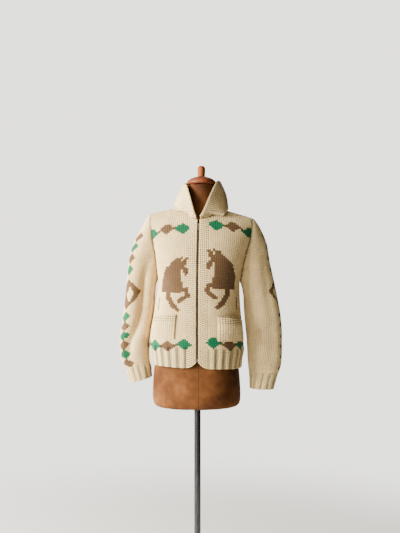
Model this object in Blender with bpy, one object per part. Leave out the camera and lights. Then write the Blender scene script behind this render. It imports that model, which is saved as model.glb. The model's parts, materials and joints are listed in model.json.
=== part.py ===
"""A hand-knitted cowichan sweater, zipped up, on a limbless dress form with a pole and a round base.

Metres, +Z up. The front faces -Y and the origin is the middle of the base's underside. Each knitted piece
is a wall of cloth whose points come from a few functions: one gives the body from hem to shoulder, one
each sleeve, one the collar. Left and right are those of somebody who looks at the front.
"""

import math
from collections import namedtuple

import bmesh
import bpy
from mathutils import Vector

# Cloth and fits
WALL = 0.0045
GAP = 0.0003
SEAM_HALF_GAP = 0.00018
FORM_CLEARANCE = 0.0009
FORM_AIR = 0.0065
RIB_HEIGHT = 0.0034
LEFT = -1
RIGHT = 1

# Body of the sweater
HEM_Z = 0.8175
ARMPIT_Z = 1.128
YOKE_Z = 1.220
SHOULDER_TOP_Z = 1.4138
SHOULDER_SLOPE = 0.25
SQUARENESS = 0.12
TILT = 0.045
SHOULDER_SEAM_V = 1.9984
HEM_RIB_V = 0.165
FRONT_RIBS = 7
BACK_RIBS = 18

# Neck opening, front bands and zip
NECK_HALF_WIDTH = 0.068
FRONT_NECK_V = 1.477
BACK_NECK_V = 1.66
BAND_GAP_HALF = 0.0044
BAND_WIDTH = 0.0341
BAND_CORNER_RISE = 0.020
TAPE_INNER = 0.0038
TAPE_DEPTH = 0.0008
TAPE_OUTER = 0.0150
TAPE_THICKNESS = 0.0010
CHAIN_HALF_WIDTH = 0.0034
CHAIN_THICKNESS = 0.0026
ZIP_ROWS = 24
SLIDER_Z = 1.333
SLIDER_SIZE = (0.0062, 0.0054, 0.0100)
BRIDGE_WIDTH = 0.0020
BRIDGE_HOLE_RADIUS = 0.0013
BRIDGE_RADIUS = 0.0023
BRIDGE_ROOT = 0.0004
ZIP_BOX_Z = 0.846
ZIP_BOX_SIZE = (0.0058, 0.0034, 0.0110)
ZIP_DEPTH = -WALL - TAPE_DEPTH - TAPE_THICKNESS / 2
TAPE_BELOW_NECK = 0.06
CHAIN_START = 0.006
CHAIN_END = 0.0056
PULL_THICKNESS = 0.0011
PULL_AXIS_OUT = 0.0012
PULL_AXIS_DOWN = 0.0005
PULL_EYE_HALF_WIDTH = 0.0014
PullRow = namedtuple("PullRow", "down half_width")
PULL_ROWS = (
    PullRow(-0.0006, 0.0023),
    PullRow(0.0006, 0.0026),
    PullRow(0.0046, 0.0026),
    PullRow(0.0080, 0.0019),
    PullRow(0.0150, 0.0022),
    PullRow(0.0205, 0.0026),
    PullRow(0.0220, 0.0018),
)

# Collar
COLLAR_THICKNESS = 0.0050
COLLAR_LIFT = 0.0023
COLLAR_REST = 0.0049
COLLAR_FOLD_RADIUS = 0.0056
COLLAR_STATIONS = 40

# Dress form, pole and base
FORM_NECK_ANGLE_SHARE = 1 / 3
FORM_FRONT_NECK_V = 1.604
FORM_BACK_NECK_V = 1.716
FORM_NECK_TOP_Z = 1.4830
CAP_RADIUS = 0.0525
FINIAL_RADIUS = 0.0144
FINIAL_TOP_Z = 1.551
POLE_RADIUS = 0.0120
BASE_RADIUS = 0.185
BASE_THICKNESS = 0.010
BASE_HUB_RADIUS = 0.024
CAP_FOOT = 0.0135
HUB_TOP_Z = 0.055

BodyRow = namedtuple("BodyRow", "z half_width front back")
BODY = (
    BodyRow(0.8175, 0.1640, 0.1280, 0.1280),
    BodyRow(0.8500, 0.1665, 0.1320, 0.1320),
    BodyRow(0.8850, 0.1725, 0.1370, 0.1370),
    BodyRow(0.9300, 0.1710, 0.1380, 0.1360),
    BodyRow(0.9800, 0.1640, 0.1360, 0.1310),
    BodyRow(1.0500, 0.1550, 0.1330, 0.1250),
    BodyRow(1.1280, 0.1500, 0.1310, 0.1210),
    BodyRow(1.2200, 0.1500, 0.1280, 0.1180),
)

ArmholeRow = namedtuple("ArmholeRow", "rise half_width")
ARMHOLE = (
    ArmholeRow(0.00, 0.150),
    ArmholeRow(0.25, 0.165),
    ArmholeRow(0.50, 0.180),
    ArmholeRow(0.75, 0.186),
    ArmholeRow(1.00, 0.188),
)
ARMHOLE_TURN = math.radians(38)
ARMHOLE_ROUNDNESS = 0.4

LeanRow = namedtuple("LeanRow", "z body_x zip_x")
LEAN = (
    LeanRow(0.66, -0.0025, -0.0006),
    LeanRow(0.82, -0.0035, -0.0006),
    LeanRow(1.13, 0.0050, 0.0000),
    LeanRow(1.37, 0.0148, 0.0040),
    LeanRow(1.52, 0.0142, 0.0045),
)

# A sleeve's sections: the points nearest to and furthest from the body, half-depths to the front and back,
# and the long valley that its empty cloth falls into. Angles run from the outer point round by the front.
SLEEVE_COLUMNS = "step inner_x inner_z outer_x outer_z front back mid_y valley valley_angle"
SleeveRow = namedtuple("SleeveRow", SLEEVE_COLUMNS)
SLEEVE_LEFT = (
    SleeveRow(0, -0.1450, 1.128, -0.1723, 1.3750, 0.068, 0.062, 0.000, 0.000, 105),
    SleeveRow(1, -0.1540, 1.112, -0.1990, 1.3440, 0.068, 0.066, 0.002, 0.006, 105),
    SleeveRow(2, -0.1580, 1.098, -0.2180, 1.3050, 0.066, 0.068, 0.004, 0.012, 105),
    SleeveRow(3, -0.1570, 1.080, -0.2390, 1.2610, 0.064, 0.068, 0.006, 0.017, 104),
    SleeveRow(4, -0.1578, 1.055, -0.2520, 1.2150, 0.062, 0.068, 0.007, 0.020, 104),
    SleeveRow(5, -0.1612, 1.020, -0.2590, 1.1600, 0.061, 0.067, 0.008, 0.021, 105),
    SleeveRow(6, -0.1664, 0.985, -0.2640, 1.0950, 0.060, 0.066, 0.009, 0.021, 106),
    SleeveRow(7, -0.1728, 0.950, -0.2710, 1.0300, 0.059, 0.064, 0.009, 0.021, 102),
    SleeveRow(8, -0.1775, 0.915, -0.2795, 0.9700, 0.057, 0.061, 0.009, 0.020, 90),
    SleeveRow(9, -0.1800, 0.885, -0.2875, 0.9150, 0.054, 0.057, 0.008, 0.017, 76),
    SleeveRow(10, -0.1795, 0.858, -0.2865, 0.8700, 0.050, 0.052, 0.006, 0.012, 68),
    SleeveRow(11, -0.1770, 0.830, -0.2800, 0.8300, 0.044, 0.045, 0.003, 0.006, 64),
    SleeveRow(12, -0.1730, 0.812, -0.2620, 0.8030, 0.037, 0.037, 0.001, 0.000, 64),
    SleeveRow(13, -0.1700, 0.774, -0.2470, 0.7520, 0.035, 0.034, 0.000, 0.000, 64),
)
SLEEVE_RIGHT = (
    SleeveRow(0, 0.1590, 1.128, 0.2017, 1.3590, 0.068, 0.062, 0.000, 0.000, 60),
    SleeveRow(1, 0.1680, 1.106, 0.2225, 1.3420, 0.068, 0.066, 0.002, 0.000, 60),
    SleeveRow(2, 0.1700, 1.088, 0.2430, 1.3080, 0.066, 0.068, 0.004, 0.002, 60),
    SleeveRow(3, 0.1710, 1.066, 0.2570, 1.2620, 0.064, 0.068, 0.006, 0.004, 60),
    SleeveRow(4, 0.1720, 1.036, 0.2680, 1.1950, 0.062, 0.067, 0.007, 0.005, 60),
    SleeveRow(5, 0.1735, 1.005, 0.2830, 1.1280, 0.060, 0.065, 0.008, 0.006, 62),
    SleeveRow(6, 0.1765, 0.972, 0.2970, 1.0600, 0.058, 0.063, 0.008, 0.006, 64),
    SleeveRow(7, 0.1800, 0.938, 0.3080, 0.9950, 0.057, 0.060, 0.007, 0.005, 66),
    SleeveRow(8, 0.1830, 0.903, 0.3125, 0.9330, 0.055, 0.058, 0.006, 0.004, 68),
    SleeveRow(9, 0.1845, 0.868, 0.3125, 0.8760, 0.052, 0.054, 0.005, 0.003, 70),
    SleeveRow(10, 0.1860, 0.832, 0.3100, 0.8260, 0.048, 0.049, 0.004, 0.002, 70),
    SleeveRow(11, 0.1890, 0.802, 0.3020, 0.7950, 0.042, 0.042, 0.002, 0.000, 70),
    SleeveRow(12, 0.1930, 0.780, 0.2930, 0.7750, 0.037, 0.036, 0.001, 0.000, 70),
    SleeveRow(13, 0.1955, 0.731, 0.2790, 0.7280, 0.035, 0.034, 0.000, 0.000, 70),
)
SLEEVES = {LEFT: SLEEVE_LEFT, RIGHT: SLEEVE_RIGHT}
SLEEVE_STEPS = (0, 0.6, 1.3, 2, 3, 4, 5, 6, 7, 8, 9, 10, 11, 11.5, 12, 12.5, 13)
SLEEVE_ANGLES = (0, 20, 40, 54, 66, 78, 90, 102, 114, 126, 140, 160, 180, 202, 225, 248, 270, 292, 315, 338)
SLEEVE_BLEND_STEPS = 3.0
SLEEVE_SQUARENESS = 0.08
VALLEY_HALF_WIDTH = math.radians(19)
CUFF_STEP = 12
ARMHOLE_GAP = 0.0009
CUFF_RIBS = 11

# Collar stations, from the middle of the back (share 0) to the ends at the zip (share 1): the roll line
# and the free edge, from the middle of the neck, and how far the turned-down part bulges.
CollarRow = namedtuple("CollarRow", "share roll_x roll_y roll_z edge_x edge_y edge_z bulge")
COLLAR_LEFT = (
    CollarRow(0.00, 0.000, 0.0690, 1.493, 0.000, 0.0930, 1.398, 0.007),
    CollarRow(0.18, 0.044, 0.0560, 1.492, 0.056, 0.0800, 1.395, 0.007),
    CollarRow(0.38, 0.0625, 0.0150, 1.488, 0.096, 0.0400, 1.392, 0.005),
    CollarRow(0.55, 0.0570, -0.0380, 1.477, 0.102, 0.0000, 1.392, 0.004),
    CollarRow(0.70, 0.0470, -0.0700, 1.443, 0.102, -0.0220, 1.388, 0.005),
    CollarRow(0.85, 0.0370, -0.0910, 1.400, 0.098, -0.0400, 1.382, 0.005),
    CollarRow(1.00, 0.0290, -0.0990, 1.365, 0.090, -0.0580, 1.372, 0.004),
)
COLLAR_RIGHT = (
    CollarRow(0.00, 0.000, 0.0690, 1.493, 0.000, 0.0930, 1.398, 0.007),
    CollarRow(0.18, 0.045, 0.0560, 1.496, 0.058, 0.0800, 1.396, 0.008),
    CollarRow(0.38, 0.0642, 0.0150, 1.497, 0.096, 0.0380, 1.392, 0.008),
    CollarRow(0.55, 0.0546, -0.0360, 1.484, 0.098, -0.0060, 1.388, 0.007),
    CollarRow(0.70, 0.0360, -0.0680, 1.444, 0.096, -0.0340, 1.380, 0.007),
    CollarRow(0.85, 0.0190, -0.0900, 1.401, 0.090, -0.0580, 1.370, 0.006),
    CollarRow(1.00, 0.0030, -0.0990, 1.362, 0.080, -0.0740, 1.362, 0.004),
)
COLLARS = {LEFT: COLLAR_LEFT, RIGHT: COLLAR_RIGHT}

POCKET_GAP = 0.0008
PocketRow = namedtuple("PocketRow", "side inner_angle outer_angle bottom_z inner_top_z outer_top_z bulge")
POCKETS = (
    PocketRow(LEFT, 25, 68, 0.920, 1.006, 0.990, 0.012),
    PocketRow(RIGHT, 23, 72, 0.918, 1.004, 0.992, 0.013),
)

FormRow = namedtuple("FormRow", "z half_width front back")
FORM = (
    FormRow(0.6670, 0.1440, 0.1080, 0.1080),
    FormRow(0.6710, 0.1540, 0.1180, 0.1180),
    FormRow(0.6800, 0.1605, 0.1230, 0.1230),
    FormRow(0.6980, 0.1630, 0.1250, 0.1250),
    FormRow(0.7500, 0.1620, 0.1240, 0.1240),
    FormRow(0.8200, 0.1565, 0.1190, 0.1190),
    FormRow(0.8900, 0.1440, 0.1100, 0.1100),
    FormRow(0.9600, 0.1260, 0.1000, 0.0960),
    FormRow(1.0200, 0.1160, 0.0930, 0.0880),
    FormRow(1.0900, 0.1240, 0.1000, 0.0900),
    FormRow(1.1700, 0.1370, 0.1150, 0.0960),
    FormRow(1.2500, 0.1460, 0.1160, 0.1040),
)
FORM_HEIGHTS = (0.667, 0.671, 0.680, 0.698, 0.75, 0.82, 0.89, 0.96, 1.02, 1.075, 1.13, 1.185)
FORM_UPPER_LEVELS = (1.0, 1.12, 1.25, 1.38, 1.50, 1.62, 1.74, 1.85, 1.94, 2.0)
FORM_COLUMNS = (0, 0.0833, 0.1667, 0.25, FORM_NECK_ANGLE_SHARE, 0.44, 0.56, 0.68, 0.80, 0.91, 1.0)
FORM_SHOULDER_HALF_WIDTH = 0.163
NeckRow = namedtuple("NeckRow", "z half_width front back")
NECK = (
    NeckRow(1.4120, 0.0545, 0.0610, 0.0430),
    NeckRow(1.4350, 0.0520, 0.0590, 0.0415),
    NeckRow(1.4620, 0.0508, 0.0580, 0.0410),
    NeckRow(FORM_NECK_TOP_Z, 0.0503, 0.0575, 0.0410),
)

Finish = namedtuple("Finish", "name colour roughness metallic")
CREAM = Finish("cream_wool", (0.82, 0.74, 0.58, 1), 0.9, 0.0)
BAND_CREAM = Finish("band_wool", (0.80, 0.71, 0.54, 1), 0.9, 0.0)
COLLAR_CREAM = Finish("collar_wool", (0.81, 0.72, 0.56, 1), 0.9, 0.0)
POCKET_CREAM = Finish("pocket_wool", (0.80, 0.72, 0.55, 1), 0.9, 0.0)
TAPE = Finish("zip_tape", (0.70, 0.64, 0.52, 1), 0.85, 0.0)
BRONZE = Finish("zip_metal", (0.16, 0.13, 0.09, 1), 0.4, 1.0)
CANVAS = Finish("form_canvas", (0.42, 0.25, 0.14, 1), 0.75, 0.0)
CAP_WOOD = Finish("cap_wood", (0.28, 0.10, 0.05, 1), 0.45, 0.0)
FINIAL_WOOD = Finish("finial_wood", (0.55, 0.22, 0.07, 1), 0.45, 0.0)
STEEL = Finish("dark_steel", (0.10, 0.10, 0.11, 1), 0.35, 1.0)
IRON = Finish("base_iron", (0.05, 0.05, 0.05, 1), 0.5, 0.6)


def clear_scene():
    for item in list(bpy.data.objects):
        bpy.data.objects.remove(item, do_unlink=True)


def smooth(share):
    share = min(max(share, 0.0), 1.0)
    return share * share * (3 - 2 * share)


def mix(start, end, share):
    return start + (end - start) * share


def slopes_of(keys, values):
    """Slopes at a table's rows that never overshoot between two rows."""
    steps = [(values[i + 1] - values[i]) / (keys[i + 1] - keys[i]) for i in range(len(keys) - 1)]
    slopes = [steps[0]]
    for before, after in zip(steps, steps[1:]):
        slopes.append(0.0 if before * after <= 0 else 2 * before * after / (before + after))
    slopes.append(steps[-1])
    return slopes


def curve(rows, key, column):
    """A smooth function of one column of a table, through its rows."""
    keys = [getattr(row, key) for row in rows]
    values = [getattr(row, column) for row in rows]
    slopes = slopes_of(keys, values)

    def value(at):
        at = min(max(at, keys[0]), keys[-1])
        i = 0
        while i < len(keys) - 2 and at > keys[i + 1]:
            i += 1
        width = keys[i + 1] - keys[i]
        t = (at - keys[i]) / width
        start = values[i] * (1 + 2 * t) + slopes[i] * width * t
        end = values[i + 1] * (3 - 2 * t) - slopes[i + 1] * width * (1 - t)
        return start * (1 - t) ** 2 + end * t ** 2

    return value


def curves(rows, key):
    """The smooth function of each column of a table, by the column's name."""
    return {name: curve(rows, key, name) for name in rows[0]._fields if name != key}


body_rows = curves(BODY, "z")
armhole_rows = curves(ARMHOLE, "rise")
lean_rows = curves(LEAN, "z")
form_rows = curves(FORM, "z")
sleeve_rows = {side: curves(rows, "step") for side, rows in SLEEVES.items()}
collar_rows = {side: curves(rows, "share") for side, rows in COLLARS.items()}

ARMPIT_V = (ARMPIT_Z - HEM_Z) / (YOKE_Z - HEM_Z)
Level = namedtuple("Level", "z half_width front back side_angle shear")


def v_of(z):
    """The level of a height below the yoke."""
    return (z - HEM_Z) / (YOKE_Z - HEM_Z)


def yoke_v(z):
    """The level of a height above the start of the yoke."""
    return 1 + math.asin((z - YOKE_Z) / (SHOULDER_TOP_Z - YOKE_Z)) * 2 / math.pi


def body_level(v):
    """Sizes of the body at a level: 0 is the hem, 1 the start of the yoke and 2 the shoulder seam."""
    if v <= 1:
        z = HEM_Z + (YOKE_Z - HEM_Z) * v
        front = body_rows["front"](z)
        back = body_rows["back"](z)
    else:
        turn = (v - 1) * math.pi / 2
        z = YOKE_Z + (SHOULDER_TOP_Z - YOKE_Z) * math.sin(turn)
        front = BODY[-1].front * math.cos(turn)
        back = BODY[-1].back * math.cos(turn)
    if v <= ARMPIT_V:
        half_width = body_rows["half_width"](z)
        side_angle = math.pi / 2
    else:
        rise = min((v - ARMPIT_V) / (2 - ARMPIT_V), 1.0)
        side_angle = math.pi / 2 - ARMHOLE_TURN * rise ** ARMHOLE_ROUNDNESS
        reach = math.sin(side_angle) * (1 + SQUARENESS * math.cos(side_angle) ** 2)
        half_width = armhole_rows["half_width"](rise) / reach
    shear = SHOULDER_SLOPE * smooth((z - ARMPIT_Z) / (SHOULDER_TOP_Z - ARMPIT_Z))
    return Level(z, half_width, front, back, side_angle, shear)


def body_point(angle, v):
    """A point of the cloth's outer face. The angle runs from the front's middle, positive to the right."""
    level = body_level(v)
    across = math.sin(angle)
    along = math.cos(angle)
    x = level.half_width * across * (1 + SQUARENESS * along ** 2)
    depth = level.front if along > 0 else level.back
    y = -depth * along * (1 + SQUARENESS * across ** 2)
    z = level.z - level.shear * abs(x)
    return Vector((x + lean_rows["body_x"](z), y, z - TILT * x))


def normal_of(place, u, v, step=2e-4):
    """Which way a surface faces, from points beside this one."""
    along_u = place(u + step, v) - place(u - step, v)
    along_v = place(u, v + step) - place(u, v - step)
    return along_u.cross(along_v).normalized()


def off_body(angle, v, out):
    """A point that lies `out` metres outside the cloth's outer face."""
    return body_point(angle, v) + normal_of(body_point, angle, v) * out


def angle_at(x, v):
    """The angle whose point at a level lies x metres to the side of the body's middle."""
    target = x / body_level(v).half_width
    across = target
    for _ in range(8):
        across = target / (1 + SQUARENESS * (1 - across * across))
    return math.asin(min(max(across, -1.0), 1.0))


def half_width_at(angle, v):
    """How far to the side of the body's middle an angle's point lies."""
    return body_level(v).half_width * math.sin(angle) * (1 + SQUARENESS * math.cos(angle) ** 2)


def from_zip(x, v):
    """The angle of a point x metres to the side of the zip."""
    z = body_level(v).z
    return angle_at(x + lean_rows["zip_x"](z) - lean_rows["body_x"](z), v)


def neck_share(side, angle, v):
    """0 at the zip and 1 where the front neck edge meets the shoulder seam."""
    here = half_width_at(angle, v)
    middle = lean_rows["zip_x"](SLIDER_Z) - lean_rows["body_x"](SLIDER_Z)
    return min(max((side * here - side * middle) / (NECK_HALF_WIDTH - side * middle), 0.0), 1.0)


def back_neck_share(angle, v):
    return min(abs(half_width_at(angle, v)) / NECK_HALF_WIDTH, 1.0)


def front_top(share):
    return mix(FRONT_NECK_V, SHOULDER_SEAM_V, 1 - math.sqrt(max(0.0, 1 - share ** 2)))


def back_top(share):
    return mix(BACK_NECK_V, SHOULDER_SEAM_V, 1 - math.sqrt(max(0.0, 1 - share ** 2)))


def under_top(v, top):
    """A level moved down so that the rows above the chest end at the neck edge."""
    return v if v <= 1 else mix(1, top, (v - 1) / (2 - 1))


def rib(position):
    """A rib's height at a place counted in ribs: furrows at whole numbers."""
    return RIB_HEIGHT * math.sqrt(abs(math.sin(math.pi * position)))


def surface_of(finish):
    material = bpy.data.materials.new(finish.name)
    material.use_nodes = True
    shader = material.node_tree.nodes["Principled BSDF"]
    shader.inputs["Base Color"].default_value = finish.colour
    shader.inputs["Roughness"].default_value = finish.roughness
    shader.inputs["Metallic"].default_value = finish.metallic
    return material


def add_object(name, mesh, finish, sharp=50):
    """A bmesh made an object of its own, smooth but for its sharp edges."""
    bmesh.ops.recalc_face_normals(mesh, faces=mesh.faces)
    if mesh.calc_volume(signed=True) < 0:
        bmesh.ops.reverse_faces(mesh, faces=mesh.faces)
    data = bpy.data.meshes.new(name)
    mesh.to_mesh(data)
    mesh.free()
    data.materials.append(surface_of(finish))
    data.shade_smooth()
    data.set_sharp_from_angle(angle=math.radians(sharp))
    item = bpy.data.objects.new(name, data)
    bpy.context.collection.objects.link(item)
    return item


def strip(mesh, low, high):
    """Faces between two rows of (key, vertex), which may have different numbers of vertices."""
    i = 0
    j = 0
    while i < len(low) - 1 or j < len(high) - 1:
        next_low = low[i + 1][0] if i < len(low) - 1 else math.inf
        next_high = high[j + 1][0] if j < len(high) - 1 else math.inf
        if abs(next_low - next_high) < 1e-6:
            mesh.faces.new((low[i][1], low[i + 1][1], high[j + 1][1], high[j][1]))
            i += 1
            j += 1
        elif next_low < next_high:
            mesh.faces.new((low[i][1], low[i + 1][1], high[j][1]))
            i += 1
        else:
            mesh.faces.new((low[i][1], high[j + 1][1], high[j][1]))
            j += 1


Row = namedtuple("Row", "v outer inner")


def cloth(name, rows, place, finish, thickness=WALL, relief=None, closed=False):
    """A wall of cloth. place(u, v, out) gives a point `out` metres outside its outer face."""
    mesh = bmesh.new()
    outer_rows = []
    inner_rows = []
    for row in rows:
        raised = relief if relief and len(row.outer) != len(row.inner) else None
        outer = [(u, mesh.verts.new(place(u, row.v, raised(u, row.v) if raised else 0.0))) for u in row.outer]
        inner = [(u, mesh.verts.new(place(u, row.v, -thickness))) for u in row.inner]
        if closed:
            outer.append((1.0 + outer[0][0], outer[0][1]))
            inner.append((1.0 + inner[0][0], inner[0][1]))
        outer_rows.append(outer)
        inner_rows.append(inner)
    for side_rows in (outer_rows, inner_rows):
        for low, high in zip(side_rows, side_rows[1:]):
            strip(mesh, low, high)
    strip(mesh, outer_rows[0], inner_rows[0])
    strip(mesh, outer_rows[-1], inner_rows[-1])
    if not closed:
        for end in (0, -1):
            outer_edge = [(row.v, points[end][1]) for row, points in zip(rows, outer_rows)]
            inner_edge = [(row.v, points[end][1]) for row, points in zip(rows, inner_rows)]
            strip(mesh, outer_edge, inner_edge)
    return add_object(name, mesh, finish)


def even(count, start=0.0, end=1.0):
    return [mix(start, end, i / count) for i in range(count + 1)]


NECK_COLUMNS = (0.4, 0.7, 0.88, 0.97, 1.0)
RIB_ROWS = (0.0, 0.03, 0.10, HEM_RIB_V)
LOWER_ROWS = (0.205, 0.28, 0.38, 0.48, 0.58, 0.68)
YOKE_ROWS = (ARMPIT_V, 0.80, 0.84, 0.92, 1.0, 1.12, 1.25, 1.38, 1.51, 1.63, 1.74, 1.84, 1.92, 2.0)


def body_rows_of(ribs, extra):
    """The rows of a body panel: four columns to a rib in the hem, one above it, more at the neck."""
    plain = even(ribs)
    dense = even(ribs * 4)
    fine = sorted(list(extra) + [u for u in plain if min([abs(u - other) for other in extra]) > 0.012])
    rows = [Row(v, dense, plain) for v in RIB_ROWS]
    rows += [Row(v, plain, plain) for v in LOWER_ROWS]
    rows += [Row(v, fine, fine) for v in YOKE_ROWS]
    return rows


def neck_level(v, angle_of, top_of):
    """The level and angle of a row on a column that ends at the neck edge, found by closing in on both."""
    level = v
    for _ in range(10):
        level = (level + under_top(v, top_of(angle_of(level), level))) / 2
    return level, angle_of(level)


def add_front(side, name):
    def edges(level):
        first = side * from_zip(side * (BAND_GAP_HALF + BAND_WIDTH + GAP), level)
        last = body_level(level).side_angle
        if level <= ARMPIT_V:
            last -= SEAM_HALF_GAP / BODY[0].front
        return first, last

    first, last = edges(SHOULDER_SEAM_V)
    neck_u = (angle_at(NECK_HALF_WIDTH, SHOULDER_SEAM_V) - first) / (last - first)

    def place(u, v, out):
        def angle_of(level):
            return side * mix(*edges(level), u)

        if v <= 1 or u >= neck_u - 1e-6:
            level = under_top(v, SHOULDER_SEAM_V)
            return off_body(angle_of(level), level, out)
        level, angle = neck_level(v, angle_of, lambda a, at: front_top(neck_share(side, a, at)))
        return off_body(angle, level, out)

    rows = body_rows_of(FRONT_RIBS, [neck_u * share for share in NECK_COLUMNS])
    return cloth(name, rows, place, CREAM, relief=lambda u, v: rib(u * FRONT_RIBS))


def add_back():
    neck_half = angle_at(NECK_HALF_WIDTH, SHOULDER_SEAM_V) / body_level(SHOULDER_SEAM_V).side_angle

    def place(u, v, out):
        def angle_of(level):
            last = body_level(level).side_angle
            if level <= ARMPIT_V:
                last -= SEAM_HALF_GAP / BODY[0].back
            return math.pi - (2 * u - 1) * last

        if v <= 1 or abs(2 * u - 1) >= neck_half - 1e-6:
            level = under_top(v, SHOULDER_SEAM_V)
            return off_body(angle_of(level), level, out)
        level, angle = neck_level(v, angle_of, lambda a, at: back_top(back_neck_share(a, at)))
        return off_body(angle, level, out)

    extra = [0.5 + side * neck_half * share / 2 for side in (LEFT, RIGHT) for share in NECK_COLUMNS]
    return cloth("back", body_rows_of(BACK_RIBS, extra), place, CREAM, relief=lambda u, v: rib(u * BACK_RIBS))


def add_band(side, name):
    """The strip beside the zip. Its lower corner is rounded up to the end of the zip."""
    def place(u, v, out):
        def angle_of(level):
            return from_zip(side * (BAND_GAP_HALF + BAND_WIDTH * u), level)

        if v < 1:
            level = mix(BAND_CORNER_RISE / (YOKE_Z - HEM_Z) * (1 - u) ** 2, 1, v)
            return off_body(angle_of(level), level, out)
        level, angle = neck_level(v, angle_of, lambda a, at: front_top(neck_share(side, a, at)))
        return off_body(angle, level, out)

    columns = even(4)
    levels = RIB_ROWS + LOWER_ROWS + YOKE_ROWS
    return cloth(name, [Row(v, columns, columns) for v in levels], place, BAND_CREAM, thickness=WALL)


def sleeve_ring(side, turn, step):
    """A point of a sleeve, `turn` radians from its outer point round by the front."""
    read = sleeve_rows[side]
    inner = Vector((read["inner_x"](step), 0, read["inner_z"](step)))
    outer = Vector((read["outer_x"](step), 0, read["outer_z"](step)))
    middle = (inner + outer) / 2
    across = math.cos(turn) * (1 + SLEEVE_SQUARENESS * math.sin(turn) ** 2)
    along = math.sin(turn) * (1 + SLEEVE_SQUARENESS * math.cos(turn) ** 2)
    depth = read["front"](step) if along > 0 else read["back"](step)
    point = middle + (outer - inner) / 2 * across
    point.y = read["mid_y"](step) - depth * along
    off_valley = (turn - math.radians(read["valley_angle"](step))) / VALLEY_HALF_WIDTH
    sink = read["valley"](step) * math.exp(-off_valley * off_valley)
    to_middle = Vector((middle.x, read["mid_y"](step), middle.z)) - point
    return point + to_middle.normalized() * sink


def armhole_height(side, v):
    return body_point(side * body_level(v).side_angle, v).z


def armhole_ends(side):
    return armhole_height(side, 2.0), armhole_height(side, ARMPIT_V)


def armhole_turns(side):
    """The turns at which the rows of the body's panels meet the armhole, as shares of a whole turn."""
    top, bottom = armhole_ends(side)
    front = []
    for v in reversed(YOKE_ROWS):
        share = (armhole_height(side, v) - bottom) / (top - bottom)
        front.append(math.acos(min(max(2 * share - 1, -1.0), 1.0)) / (2 * math.pi))
    return front + [1 - turn for turn in reversed(front[1:-1])]


def armhole_place(side, turn):
    """The body's angle and level at the edge of its armhole, `turn` radians from the shoulder."""
    top, bottom = armhole_ends(side)
    target = mix(bottom, top, (1 + math.cos(turn)) / 2)
    low = ARMPIT_V
    high = 2.0
    for _ in range(24):
        v = (low + high) / 2
        low, high = (v, high) if armhole_height(side, v) < target else (low, v)
    side_angle = body_level(low).side_angle
    return side * (side_angle if turn <= math.pi else math.pi - side_angle), low


def armhole_point(side, turn, out):
    angle, v = armhole_place(side, turn)
    return body_point(angle, v) + Vector((side * out, 0, 0))


def sleeve_surface(side, u, step):
    turn = (u % 1.0) * 2 * math.pi
    ring = sleeve_ring(side, turn, step)
    if step >= SLEEVE_BLEND_STEPS:
        return ring
    start = armhole_point(side, turn, ARMHOLE_GAP)
    start.z += ARMHOLE_GAP * max(0.0, -math.cos(turn)) ** 4
    return start.lerp(ring, step / SLEEVE_BLEND_STEPS)


def add_sleeve(side, name):
    def place(u, step, out):
        def at(along_u, along_step):
            return sleeve_surface(side, along_u, along_step)

        inside = min(max(step, 0.4), SLEEVE_STEPS[-1] - 0.02)
        face = normal_of(at, u, inside) * side
        turn = (u % 1.0) * 2 * math.pi
        near_top = smooth((math.cos(turn) - 0.2) / 0.5) * (1 - smooth(step))
        if near_top > 0:
            angle, v = armhole_place(side, turn)
            face = face.lerp(normal_of(body_point, angle, min(v, 1.995)), near_top).normalized()
        return at(u, step) + face * out

    plain = [angle / 360 for angle in SLEEVE_ANGLES]
    dense = even(CUFF_RIBS * 4)[:-1]
    seam = armhole_turns(side)
    rows = [Row(step, dense if step >= CUFF_STEP else plain, plain) for step in SLEEVE_STEPS]
    rows[0] = Row(0, seam, seam)
    return cloth(name, rows, place, CREAM, relief=lambda u, v: rib(u * CUFF_RIBS), closed=True)


def neck_seam(side, share):
    """The middle of the body's neck edge, from the back (share 0) to the zip (share 1)."""
    shoulder_share = 0.5
    if share <= shoulder_share:
        here = share / shoulder_share
        v = back_top(here)
        angle = math.pi - angle_at(side * NECK_HALF_WIDTH * here, v)
    else:
        here = (1 - share) / (1 - shoulder_share)
        v = front_top(here)
        middle = lean_rows["zip_x"](SLIDER_Z) - lean_rows["body_x"](SLIDER_Z)
        half = NECK_HALF_WIDTH - side * middle
        angle = angle_at(middle + side * (half * here + BAND_GAP_HALF * (1 - here)), v)
    return off_body(angle, v, -WALL / 2)


def over_shoulder(point):
    """A point of the collar's middle, raised where the shoulder's cloth would reach it."""
    x = point.x - lean_rows["body_x"](point.z)
    low = 1.0
    high = 2.0
    facing = -1 if point.y < 0 else 1
    for _ in range(16):
        v = (low + high) / 2
        angle = angle_at(x, v)
        y = body_point(angle if facing < 0 else math.pi - angle, v).y
        low, high = (v, high) if abs(y) > abs(point.y) else (low, v)
    angle = angle_at(x, low)
    angle = angle if facing < 0 else math.pi - angle
    face = normal_of(body_point, angle, min(low, 1.995))
    clear = (COLLAR_THICKNESS / 2 + COLLAR_REST) / max(face.z, 0.35)
    return Vector((point.x, point.y, max(point.z, body_point(angle, low).z + clear)))


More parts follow.
